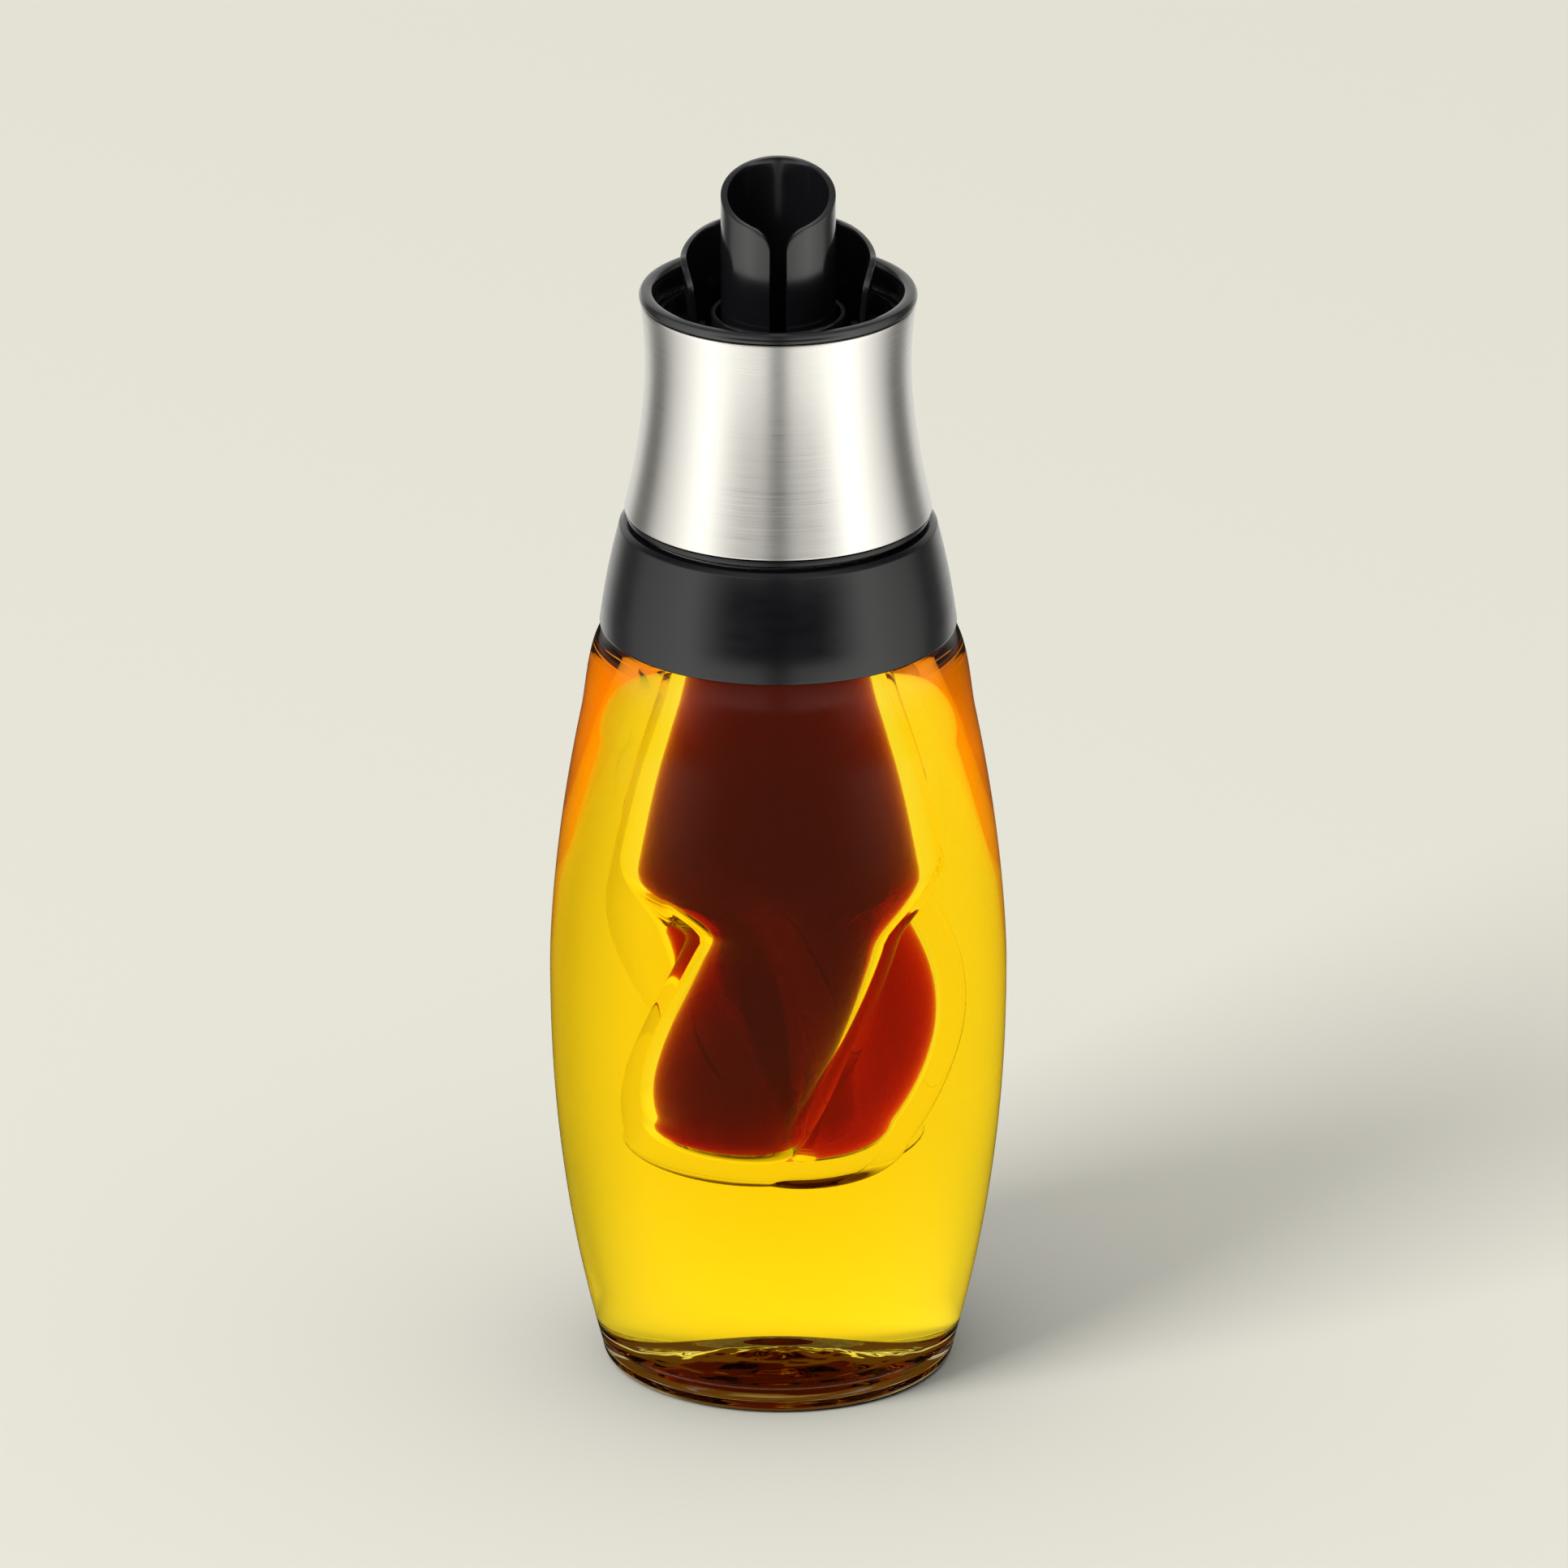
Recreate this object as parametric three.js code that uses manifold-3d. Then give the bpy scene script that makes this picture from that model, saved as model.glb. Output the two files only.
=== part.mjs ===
// Oil and vinegar pourer: a glass bottle for oil with a second, twisted glass vessel for vinegar
// hanging inside its neck, under a head with two pouring spouts, one inside the other.
// A quarter turn of the steel collar draws both spouts down into the collar and shuts them.
//
// Millimetres, +Z up. The origin is the centre of the circle that the bottle stands on, the
// front of the pourer is -Y, and both spouts pour towards +Y.

import * as THREE from 'three';
import { mergeVertices } from 'three/addons/utils/BufferGeometryUtils.js';
import Module from 'manifold-3d';

const wasm = await Module();
wasm.setup();

// ---------------------------------------------------------------- driving dimensions

const SEGMENTS = 32; // sides of a full circle
const GAP = 0.3; // clearance between pieces that touch in the real assembly
const SLIP_GAP = 0.2; // the same, where one piece slides or turns on another

// Outer bottle.
const BELLY_R = 40;
const BELLY_Z = 73;
const HEEL_R = 31;
const HEEL_Z = 2.2;
const HEEL_POWER = 2.17; // how late the wall turns in, below the belly
const SHOULDER_R = 34.1;
const SHOULDER_Z = 122;
const SHOULDER_POWER = 1.72; // the same, above the belly
const SHOULDER_TOP_R = 27.4;
const SHOULDER_TOP_Z = 138;
const SHOULDER_START_Z = 121; // where the wall starts to round over towards the neck
const SHOULDER_LEAN = 1.1; // how far the round shoulder leans in before it turns over
const SHOULDER_RISE = 6; // how far it still rises before it turns over
const SHOULDER_THICKENING = 1.3; // thickness of the glass in the shoulder's curve, times the wall
const PUNT_R = 22; // domed hollow under the bottle
const PUNT_EDGE_Z = 1;
const PUNT_Z = 6.8;
const FOOT_WIDTH = 3; // from the hollow's edge to the ring that the bottle stands on
const GLASS_WALL = 3.2;
const FLOOR_R = 24; // domed floor inside
const FLOOR_Z = 3.8;
const FLOOR_TOP_Z = 9.5;
const NECK_R = 24.4;
const NECK_BORE_R = 22.2;
const NECK_TOP_Z = 148;
const NECK_BEAD_R = 24.8; // thread bead

// Inner vessel.
const VESSEL_BOTTOM_Z = 38;
const VESSEL_TOP_Z = 151;
const VESSEL_WALL = 1.7;
const VESSEL_FLOOR = 4; // thickness of the bottom
const BOTTOM_POWER = 2.6; // how full the round bottom is
const VESSEL_NECK_R = 11;
const VESSEL_LIP_R = 13;
const VESSEL_LIP_HEIGHT = 1.8;
const LOBES = [ // direction in degrees, share of the radius, extra glass inside
  { direction: 0, share: 0.34, extra: 0.5 },
  { direction: 125, share: 0.58, extra: 1.4 },
  { direction: -143, share: 0.52, extra: 4 },
];
const LOBE_TWIST = THREE.MathUtils.degToRad(2.4); // turn of the lobes for each mm of height
const LOBE_TURN = THREE.MathUtils.degToRad(-98); // direction of the first lobe at LOBE_Z
const LOBE_Z = 72;
const CREASE_START_Z = 92; // the vessel is round above this height
const CREASE_FADE = 10; // height over which the creases reach their full depth
const CREASE_ROUND = 2.5; // how softly two lobes run together

// Head, from the neck upwards.
const GASKET_HEIGHT = 0.9;
const FLANGE_HEIGHT = 1.7;
const CARRIER_R = 24.2;
const CARRIER_BORE_R = 12.4;
const CARRIER_BARREL_R = 14.4;
const CARRIER_BOTTOM_Z = 138;
const OIL_PORT_COUNT = 8;
const OIL_PORT_R = 1.9;
const OIL_PORT_PITCH_R = 17.6;
const CAP_BORE_R = 15;
const CAP_INNER_R = 25.1;
const CAP_R = 26.2;
const CAP_BOTTOM_Z = 140.6;
const CAP_DECK_Z = 153.2;
const CAP_TOP_Z = 154.6;
const CAP_SEAL_BORE_R = 20.3;
const CAP_SEAL_R = 23.4;
const VINEGAR_SEAL_HEIGHT = 2;

const RING_BOTTOM_Z = 137;
const RING_TOP_Z = 156.2;
const RING_BOTTOM_R = 31.2;
const RING_TOP_R = 27.5;
const RING_WALL = 1.7;
const RING_SEAT_R = 20.2;
const WASHER_SEAT_R = 25;
const WASHER_SEAT_HEIGHT = 0.7; // over the ring's lower face
const WASHER_HEIGHT = 0.6;

const VINEGAR_PIPE_R = 8.4;
const VINEGAR_PIPE_BORE_R = 7;
const OIL_PIPE_R = 14.2;
const OIL_PIPE_BORE_R = 12.6;
const PIPE_BOTTOM_Z = 146;
const PIPE_TOP_Z = 186.5;
const EAR_TOP_Z = 193; // two ears that close the sides of the oil channel
const EAR_THICKNESS = 1.1;
const EAR_WIDTH = 3.6;
const EAR_X = 13.15;
const EAR_Y = -2.6;
const O_RING_Z = 184;
const HUB_R = 19.2;
const HUB_BORE_R = 18.2;
const HUB_LIP_R = 19.8;
const HUB_TOP_Z = 161.6;
const HUB_LIP_Z = 160.6;
const POST_R = 0.8;
const POST_PITCH_R = 17.1;
const POST_ANGLE = THREE.MathUtils.degToRad(35); // from the front, to each side
const POST_TOP_Z = 188;

// Collar.
const STEP_BOTTOM_Z = 157;
const STEP_TOP_Z = 158.1;
const STEP_R = 26.4;
const SLEEVE_BOTTOM_Z = 158.4;
const SLEEVE_TOP_Z = 196.8;
const SLEEVE_BOTTOM_R = 26.8;
const SLEEVE_WAIST_R = 23.1;
const SLEEVE_WAIST_Z = 185;
const SLEEVE_TOP_R = 24;
const SLEEVE_WALL = 0.7;
const SLEEVE_POWER = 1.75; // flare below the waist
const LINER_R = 21.9;
const LINER_BORE_R = 20.6;
const LINER_BOTTOM_Z = 156.7;
const LINER_TOP_Z = 193.4;
const LINER_LIP_R = 19.9;
const LINER_LIP_TOP_Z = 159;
const RIM_BORE_R = 21.6;
const RIM_R = 24.1;
const RIM_TOP_Z = 198.8;

// Spouts, and the cam that lifts them.
const LIFT = 21.5; // travel of the spouts
const TWIST = Math.PI / 2; // turn of the collar
const VINEGAR_SPOUT_R = 9.95;
const VINEGAR_SPOUT_BORE_R = 8.8;
const SPOUT_BOTTOM_Z = 182;
const SPOUT_TOP_Z = 219.8;
const SPOUT_SLANT = 0.385; // rise of the opening for each mm towards the back
const SLOT_HALF_WIDTH = 1.4;
const SLOT_BOTTOM_Z = 193;
const SLOT_CORNER_R = 4;
const DRIP_RING_BORE_R = 10.8;
const DRIP_RING_R = 11.8;
const DRIP_RING_TOP_Z = 194.6;
const DRIP_RING_FLOOR_Z = 187.2;
const TROUGH_R = 15.6;
const TROUGH_WALL = 1;
const TROUGH_LIP_R = 17.3;
const TROUGH_BASE_Z = 190.5;
const TROUGH_TOP_Z = 206.9;
const TROUGH_EDGE_Y = -5; // front edges of the open trough
const PLATE_R = 20.3;
const PLATE_BORE_R = 15.9;
const PLATE_RIM_BORE_R = 18.4;
const PLATE_Z = 185.8;
const PLATE_THICKNESS = 2;
const PLATE_RIM_HEIGHT = 4.4;
const PIN_R = 1.05;
const PIN_INNER_R = 18.7;
const PIN_OUTER_R = 21.5;
const PIN_CLEARANCE = 0.3;
const O_RING_SECTION_R = 0.5;

// ---------------------------------------------------------------- materials

function finish(color, roughness, metalness = 0) {
  return new THREE.MeshStandardMaterial({ color, roughness, metalness });
}

const FINISHES = {
  bottleGlass: finish('#e9efe6', 0.05),
  vesselGlass: finish('#eef3ee', 0.05),
  blackGloss: finish('#101114', 0.18),
  blackSatin: finish('#1d1e21', 0.38),
  innerPlastic: finish('#2a2b2e', 0.5),
  silicone: finish('#c9cbc6', 0.7),
  acetal: finish('#e4e2da', 0.55),
  brushedSteel: finish('#c4c2ba', 0.3, 1),
  plainSteel: finish('#a9aaab', 0.25, 1),
};

// ---------------------------------------------------------------- geometry helpers

// Points [radius, height] along a wall whose radius is a function of its height.
function wall(radiusAt, fromZ, toZ, steps) {
  const points = [];
  for (let i = 0; i <= steps; i += 1) {
    const z = THREE.MathUtils.lerp(fromZ, toZ, i / steps);
    points.push([radiusAt(z), z]);
  }
  return points;
}

// Points [radius, height] along a part of an ellipse, with angles in degrees.
function arc(centreR, centreZ, radiusR, radiusZ, fromDegrees, toDegrees, steps) {
  const points = [];
  for (let i = 0; i <= steps; i += 1) {
    const angle = THREE.MathUtils.degToRad(THREE.MathUtils.lerp(fromDegrees, toDegrees, i / steps));
    points.push([centreR + radiusR * Math.cos(angle), centreZ + radiusZ * Math.sin(angle)]);
  }
  return points;
}

// Points [radius, height] along a cubic curve through four given [radius, height] points.
function bezier(start, leave, arrive, end, steps) {
  const corners = [start, leave, arrive, end].map(([r, z]) => new THREE.Vector2(r, z));
  return new THREE.CubicBezierCurve(...corners).getPoints(steps).map((p) => [p.x, p.y]);
}

// A solid of revolution from an outline of [radius, height] points, anticlockwise. An outline
// that doesn't start on the axis is closed into a ring.
function turned(outline, segments = SEGMENTS) {
  const points = outline.map(([r, z]) => new THREE.Vector2(r, z));
  if (outline[0][0] > 0) {
    points.push(points[0].clone());
  }
  const geometry = new THREE.LatheGeometry(points, segments);
  geometry.rotateX(Math.PI / 2);
  return geometry;
}

// A plain ring or tube with a rectangular section.
function ring(boreR, outerR, bottomZ, topZ, segments = SEGMENTS) {
  return turned([[boreR, bottomZ], [outerR, bottomZ], [outerR, topZ], [boreR, topZ]], segments);
}

// A round rod or cutter standing along Z.
function rod(radius, bottomZ, topZ, x = 0, y = 0, sides = 10) {
  const geometry = new THREE.CylinderGeometry(radius, radius, topZ - bottomZ, sides);
  geometry.rotateX(Math.PI / 2);
  geometry.translate(x, y, (bottomZ + topZ) / 2);
  return geometry;
}

// A closed skin over a stack of loops that all have the same number of points. The first and
// the last loop are closed with a flat fan.
function skinned(loops) {
  const count = loops[0].length;
  const positions = loops.flat().flatMap((p) => [p.x, p.y, p.z]);
  const triangles = [];
  for (let level = 0; level < loops.length - 1; level += 1) {
    for (let i = 0; i < count; i += 1) {
      const next = (i + 1) % count;
      const a = level * count + i;
      const b = level * count + next;
      triangles.push(a, b, b + count, a, b + count, a + count);
    }
  }
  const lastStart = (loops.length - 1) * count;
  for (const [start, outward] of [[0, false], [lastStart, true]]) {
    const centre = new THREE.Vector3();
    loops[start / count].forEach((p) => centre.addScaledVector(p, 1 / count));
    const hub = positions.length / 3;
    positions.push(centre.x, centre.y, centre.z);
    for (let i = 0; i < count; i += 1) {
      const a = start + i;
      const b = start + ((i + 1) % count);
      triangles.push(hub, outward ? a : b, outward ? b : a);
    }
  }
  const geometry = new THREE.BufferGeometry();
  geometry.setAttribute('position', new THREE.Float32BufferAttribute(positions, 3));
  geometry.setIndex(triangles);
  return geometry;
}

function toSolid(geometry) {
  const bare = geometry.clone();
  bare.deleteAttribute('normal');
  bare.deleteAttribute('uv');
  const merged = mergeVertices(bare, 1e-4);
  const vertProperties = new Float32Array(merged.attributes.position.array);
  const triVerts = new Uint32Array(merged.index.array);
  return new wasm.Manifold(new wasm.Mesh({ numProp: 3, vertProperties, triVerts }));
}

function fromSolid(solid) {
  const { vertProperties, triVerts, numProp } = solid.getMesh();
  const geometry = new THREE.BufferGeometry();
  const positions = new Float32Array((vertProperties.length / numProp) * 3);
  for (let i = 0; i < positions.length / 3; i += 1) {
    positions.set(vertProperties.subarray(i * numProp, i * numProp + 3), i * 3);
  }
  geometry.setAttribute('position', new THREE.BufferAttribute(positions, 3));
  geometry.setIndex(new THREE.BufferAttribute(new Uint32Array(triVerts), 1));
  geometry.computeVertexNormals();
  return geometry;
}

function joined(first, ...others) {
  return fromSolid(others.reduce((solid, other) => solid.add(toSolid(other)), toSolid(first)));
}

function cut(body, ...cutters) {
  return fromSolid(cutters.reduce((solid, cutter) => solid.subtract(toSolid(cutter)), toSolid(body)));
}

// An outline drawn in the plane of Y (across) and Z (up), extruded along X.
function sideCutter(shape, halfWidth) {
  const geometry = new THREE.ExtrudeGeometry(shape, { depth: 2 * halfWidth, bevelEnabled: false });
  geometry.translate(0, 0, -halfWidth);
  geometry.applyMatrix4(new THREE.Matrix4().makeBasis(
    new THREE.Vector3(0, 1, 0), new THREE.Vector3(0, 0, 1), new THREE.Vector3(1, 0, 0),
  ));
  return geometry;
}

// An outline drawn in the plane of X (across) and Z (up), extruded from the front to the axis.
function frontCutter(shape, reach) {
  const geometry = new THREE.ExtrudeGeometry(shape, { depth: reach, bevelEnabled: false });
  geometry.rotateX(Math.PI / 2);
  return geometry;
}

// ---------------------------------------------------------------- bottle

function bottleOuterR(z) {
  if (z < BELLY_Z) {
    return BELLY_R - (BELLY_R - HEEL_R) * ((BELLY_Z - z) / (BELLY_Z - HEEL_Z)) ** HEEL_POWER;
  }
  const share = (z - BELLY_Z) / (SHOULDER_Z - BELLY_Z);
  return BELLY_R - (BELLY_R - SHOULDER_R) * share ** SHOULDER_POWER;
}

// The shoulder's curve, moved in by the given thickness.
function shoulder(inset, steps) {
  const startR = bottleOuterR(SHOULDER_START_Z);
  return bezier(
    [startR - inset, SHOULDER_START_Z],
    [startR - inset - SHOULDER_LEAN, SHOULDER_START_Z + SHOULDER_RISE],
    [startR - inset * SHOULDER_THICKENING - SHOULDER_LEAN, SHOULDER_TOP_Z - inset - 0.2],
    [SHOULDER_TOP_R - inset, SHOULDER_TOP_Z - inset],
    steps,
  );
}

// Points [radius, height] over a low dome with a soft foot, from the axis outwards.
function dome(edgeR, edgeZ, topZ, toR, steps) {
  const points = [];
  for (let i = 0; i <= steps; i += 1) {
    const r = (toR * i) / steps;
    const share = (1 + Math.cos((Math.PI * r) / edgeR)) / 2;
    points.push([r, THREE.MathUtils.lerp(edgeZ, topZ, share)]);
  }
  return points;
}

function outerBottle() {
  const heelRound = 2.2;
  const floorRound = 6;
  const innerR = (z) => bottleOuterR(z) - GLASS_WALL;
  const cornerZ = FLOOR_Z + floorRound;
  const wallTopZ = SHOULDER_START_Z - 9;
  const wallFootZ = HEEL_Z + 5;
  const beadZ = 144;
  const outside = [
    ...dome(PUNT_R, PUNT_EDGE_Z, PUNT_Z, PUNT_R, 7),
    [PUNT_R + FOOT_WIDTH, 0],
    ...arc(HEEL_R - heelRound, HEEL_Z, heelRound, HEEL_Z, -90, 0, 2),
    ...wall(bottleOuterR, wallFootZ, wallTopZ, 8),
    ...shoulder(0, 5),
    [NECK_R, SHOULDER_TOP_Z],
    [NECK_R, beadZ - 1],
    [NECK_BEAD_R, beadZ],
    [NECK_R, beadZ + 1],
    [NECK_R, NECK_TOP_Z],
  ];
  const inside = [
    [NECK_BORE_R, NECK_TOP_Z],
    [NECK_BORE_R, SHOULDER_TOP_Z - GLASS_WALL + 1],
    ...shoulder(GLASS_WALL, 4).reverse(),
    ...wall(innerR, wallTopZ, cornerZ, 7),
    ...arc(innerR(cornerZ) - floorRound, cornerZ, floorRound, floorRound, -30, -90, 2),
    ...dome(FLOOR_R, FLOOR_Z, FLOOR_TOP_Z, FLOOR_R - 2, 6).reverse(),
  ];
  return turned([...outside, ...inside]);
}

// ---------------------------------------------------------------- inner vessel

const VESSEL_SHAPE = [ // height over the bottom, outer radius over the lobes
  [8, 18.8], [22, 21.6], [38, 21], [62, 18.3], [80, 15.2], [94, 11.7], [100, VESSEL_NECK_R],
];

// Outer radius over the lobes: an ellipse round the bottom, then a smooth curve up to the neck.
function vesselR(height) {
  const [[shoulderHeight, shoulderR]] = VESSEL_SHAPE;
  if (height < shoulderHeight) {
    const drop = 1 - height / shoulderHeight;
    return shoulderR * Math.sqrt(1 - drop ** BOTTOM_POWER);
  }
  const belly = new THREE.SplineCurve(VESSEL_SHAPE.map(([h, r]) => new THREE.Vector2(h, r)));
  let low = 0;
  let high = 1;
  for (let i = 0; i < 24; i += 1) {
    const middle = (low + high) / 2;
    if (belly.getPoint(middle).x < height) {
      low = middle;
    } else {
      high = middle;
    }
  }
  return belly.getPoint(low).y;
}

// Distance from the axis to the far side of a round lobe, at an angle from the lobe's middle.
function lobeReach(turn, centre, lobeR) {
  const across = centre * Math.sin(turn);
  if (Math.abs(across) >= lobeR) {
    return 0;
  }
  return centre * Math.cos(turn) + Math.sqrt(lobeR ** 2 - across ** 2);
}

// One loop around the vessel's outside, or around its hollow. The lobes turn with height, and
// merge into a plain circle towards the neck.
function vesselLoop(radius, z, hollow = false) {
  const count = 48;
  const depth = THREE.MathUtils.smoothstep(CREASE_START_Z - z, 0, CREASE_FADE);
  const front = LOBE_TURN + (Math.min(z, CREASE_START_Z) - LOBE_Z) * LOBE_TWIST;
  const rounding = CREASE_ROUND * depth + 0.001;
  const loop = [];
  for (let i = 0; i < count; i += 1) {
    const around = (i / count) * 2 * Math.PI;
    const reaches = LOBES.map(({ direction, share, extra }) => {
      const centre = radius * share * depth;
      const glass = hollow ? VESSEL_WALL + extra * depth : 0;
      return lobeReach(around - THREE.MathUtils.degToRad(direction), centre, radius - centre - glass);
    }).sort((a, b) => b - a);
    const overlap = Math.max(rounding - (reaches[0] - reaches[1]), 0) / rounding;
    const r = reaches[0] + (overlap ** 2 * rounding) / 4;
    loop.push(new THREE.Vector3(r * Math.cos(around + front), r * Math.sin(around + front), z));
  }
  return loop;
}

function innerVessel() {
  const neckHeight = VESSEL_SHAPE[VESSEL_SHAPE.length - 1][0];
  const lipZ = VESSEL_TOP_Z - VESSEL_LIP_HEIGHT;
  const bottomHeights = [0.4, 1.5, 3.5, 6.5];
  const bodyHeights = [10, 14, 18, 22, 26, 30, 34, 38, 42, 46, 50, 54, 58, 64, 72, 82, 92, neckHeight];
  const outside = [...bottomHeights, ...bodyHeights].map(
    (height) => vesselLoop(vesselR(height), VESSEL_BOTTOM_Z + height),
  );
  outside[0] = vesselLoop(vesselR(bottomHeights[0]), VESSEL_BOTTOM_Z);
  outside.push(vesselLoop(VESSEL_NECK_R, lipZ));
  outside.push(vesselLoop(VESSEL_LIP_R, lipZ));
  outside.push(vesselLoop(VESSEL_LIP_R, VESSEL_TOP_Z));
  const bore = VESSEL_NECK_R - VESSEL_WALL;
  const inside = [vesselLoop(bore, VESSEL_TOP_Z)];
  const shrink = 1 - VESSEL_FLOOR / neckHeight;
  for (const height of [...bottomHeights, ...bodyHeights].reverse()) {
    const z = VESSEL_BOTTOM_Z + VESSEL_FLOOR + height * shrink;
    inside.push(vesselLoop(vesselR(height), z, true));
  }
  return skinned([...outside, ...inside]);
}

// ---------------------------------------------------------------- pieces in the neck

const GASKET_Z = NECK_TOP_Z + GAP;
const FLANGE_Z = GASKET_Z + GASKET_HEIGHT + GAP;
const FLANGE_TOP_Z = FLANGE_Z + FLANGE_HEIGHT;

function vesselCarrier() {
  const lipSeatZ = VESSEL_TOP_Z - VESSEL_LIP_HEIGHT - GAP;
  const lipSeatR = VESSEL_LIP_R + GAP;
  const body = turned([
    [CARRIER_BORE_R, CARRIER_BOTTOM_Z],
    [CARRIER_BARREL_R, CARRIER_BOTTOM_Z],
    [CARRIER_BARREL_R, FLANGE_Z],
    [CARRIER_R, FLANGE_Z],
    [CARRIER_R, FLANGE_TOP_Z],
    [lipSeatR, FLANGE_TOP_Z],
    [lipSeatR, lipSeatZ],
    [CARRIER_BORE_R, lipSeatZ],
  ]);
  const ports = [];
  for (let i = 0; i < OIL_PORT_COUNT; i += 1) {
    const angle = (i / OIL_PORT_COUNT) * 2 * Math.PI;
    const x = OIL_PORT_PITCH_R * Math.cos(angle);
    const y = OIL_PORT_PITCH_R * Math.sin(angle);
    ports.push(rod(OIL_PORT_R, FLANGE_Z - 1, FLANGE_TOP_Z + 1, x, y, 10));
  }
  return cut(body, ...ports);
}

function carrierGasket() {
  return ring(NECK_BORE_R + GAP, NECK_R - GAP, GASKET_Z, GASKET_Z + GASKET_HEIGHT);
}

function vesselGrommet() {
  const top = VESSEL_TOP_Z - VESSEL_LIP_HEIGHT - 2 * GAP;
  return ring(VESSEL_NECK_R + GAP, CARRIER_BORE_R - GAP, CARRIER_BOTTOM_Z + 1, top);
}

function capSeal() {
  return ring(CAP_SEAL_BORE_R, CAP_SEAL_R, FLANGE_TOP_Z + GAP, CAP_DECK_Z - GAP);
}

function vinegarSeal() {
  const bore = VESSEL_NECK_R - VESSEL_WALL;
  const bottomZ = PIPE_BOTTOM_Z + 2 * GAP;
  return ring(VINEGAR_PIPE_R + SLIP_GAP, bore - SLIP_GAP, bottomZ, bottomZ + VINEGAR_SEAL_HEIGHT);
}

// ---------------------------------------------------------------- fixed part of the head

function neckCap() {
  const beadZ = 142.4;
  return turned([
    [CAP_INNER_R, CAP_BOTTOM_Z],
    [CAP_R, CAP_BOTTOM_Z],
    [CAP_R, CAP_TOP_Z],
    [CAP_BORE_R, CAP_TOP_Z],
    [CAP_BORE_R, CAP_DECK_Z],
    [CAP_INNER_R, CAP_DECK_Z],
    [CAP_INNER_R, beadZ + 0.7],
    [CAP_INNER_R - 0.4, beadZ],
    [CAP_INNER_R, beadZ - 0.7],
  ]);
}

function ringR(z) {
  const share = (RING_TOP_Z - z) / (RING_TOP_Z - RING_BOTTOM_Z);
  const bulge = 0.35 * Math.sin(Math.PI * share);
  return RING_TOP_R + (RING_BOTTOM_R - RING_TOP_R) * share + bulge;
}

function baseRing() {
  const flangeZ = CAP_TOP_Z + GAP;
  const washerSeatZ = flangeZ + WASHER_SEAT_HEIGHT;
  const edge = 0.7; // rounding of the ring's two edges
  const innerR = (z) => Math.max(ringR(z) - RING_WALL, CAP_R + SLIP_GAP);
  return turned([
    [RING_BOTTOM_R - edge - 0.1, RING_BOTTOM_Z],
    [RING_BOTTOM_R - 0.2, RING_BOTTOM_Z],
    ...wall(ringR, RING_BOTTOM_Z + edge, RING_TOP_Z - edge, 4),
    [RING_TOP_R - edge, RING_TOP_Z],
    [WASHER_SEAT_R, RING_TOP_Z],
    [WASHER_SEAT_R, washerSeatZ],
    [RING_SEAT_R, washerSeatZ],
    [RING_SEAT_R, flangeZ],
    ...wall(innerR, flangeZ, RING_BOTTOM_Z + 1.2, 3),
  ]);
}

// Both fixed pipes, the webs between them, and the hub that the collar turns on.
function ductBlock() {
  const flangeZ = CAP_TOP_Z + GAP;
  const grooveDepth = 0.45;
  const grooveHalf = 0.7;
  const hub = turned([
    [OIL_PIPE_BORE_R, CAP_DECK_Z],
    [OIL_PIPE_R, CAP_DECK_Z],
    [OIL_PIPE_R, flangeZ],
    [HUB_R, flangeZ],
    [HUB_R, HUB_LIP_Z],
    [HUB_LIP_R, HUB_LIP_Z],
    [HUB_LIP_R, HUB_TOP_Z],
    [HUB_BORE_R, HUB_TOP_Z],
    [HUB_BORE_R, flangeZ + 1.5],
    [OIL_PIPE_R, flangeZ + 1.5],
    [OIL_PIPE_R, O_RING_Z - grooveHalf],
    [OIL_PIPE_R - grooveDepth, O_RING_Z - grooveHalf],
    [OIL_PIPE_R - grooveDepth, O_RING_Z + grooveHalf],
    [OIL_PIPE_R, O_RING_Z + grooveHalf],
    [OIL_PIPE_R, PIPE_TOP_Z],
    [OIL_PIPE_BORE_R, PIPE_TOP_Z],
  ]);
  const vinegarPipe = turned([
    [VINEGAR_PIPE_BORE_R, PIPE_BOTTOM_Z],
    [VINEGAR_PIPE_R, PIPE_BOTTOM_Z],
    [VINEGAR_PIPE_R, O_RING_Z - grooveHalf],
    [VINEGAR_PIPE_R - grooveDepth, O_RING_Z - grooveHalf],
    [VINEGAR_PIPE_R - grooveDepth, O_RING_Z + grooveHalf],
    [VINEGAR_PIPE_R, O_RING_Z + grooveHalf],
    [VINEGAR_PIPE_R, PIPE_TOP_Z],
    [VINEGAR_PIPE_BORE_R, PIPE_TOP_Z],
  ]);
  const webs = [];
  for (let i = 0; i < 4; i += 1) {
    const web = new THREE.BoxGeometry(OIL_PIPE_BORE_R - VINEGAR_PIPE_R + 0.8, 1.6, 4);
    web.translate((OIL_PIPE_BORE_R + VINEGAR_PIPE_R) / 2, 0, flangeZ);
    web.rotateZ(Math.PI / 4 + (i * Math.PI) / 2);
    webs.push(web);
  }
  const ears = [-1, 1].map((side) => {
    const ear = new THREE.BoxGeometry(EAR_THICKNESS, EAR_WIDTH, EAR_TOP_Z - PIPE_TOP_Z + 1);
    ear.translate(side * EAR_X, EAR_Y, (EAR_TOP_Z + PIPE_TOP_Z - 1) / 2);
    return ear;
  });
  const postHoles = [-1, 1].map((side) => {
    const [x, y] = postPlace(side);
    return rod(POST_R + SLIP_GAP, flangeZ + 0.3, flangeZ + 2, x, y);
  });
  return cut(joined(hub, vinegarPipe, ...webs, ...ears), ...postHoles);
}

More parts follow.
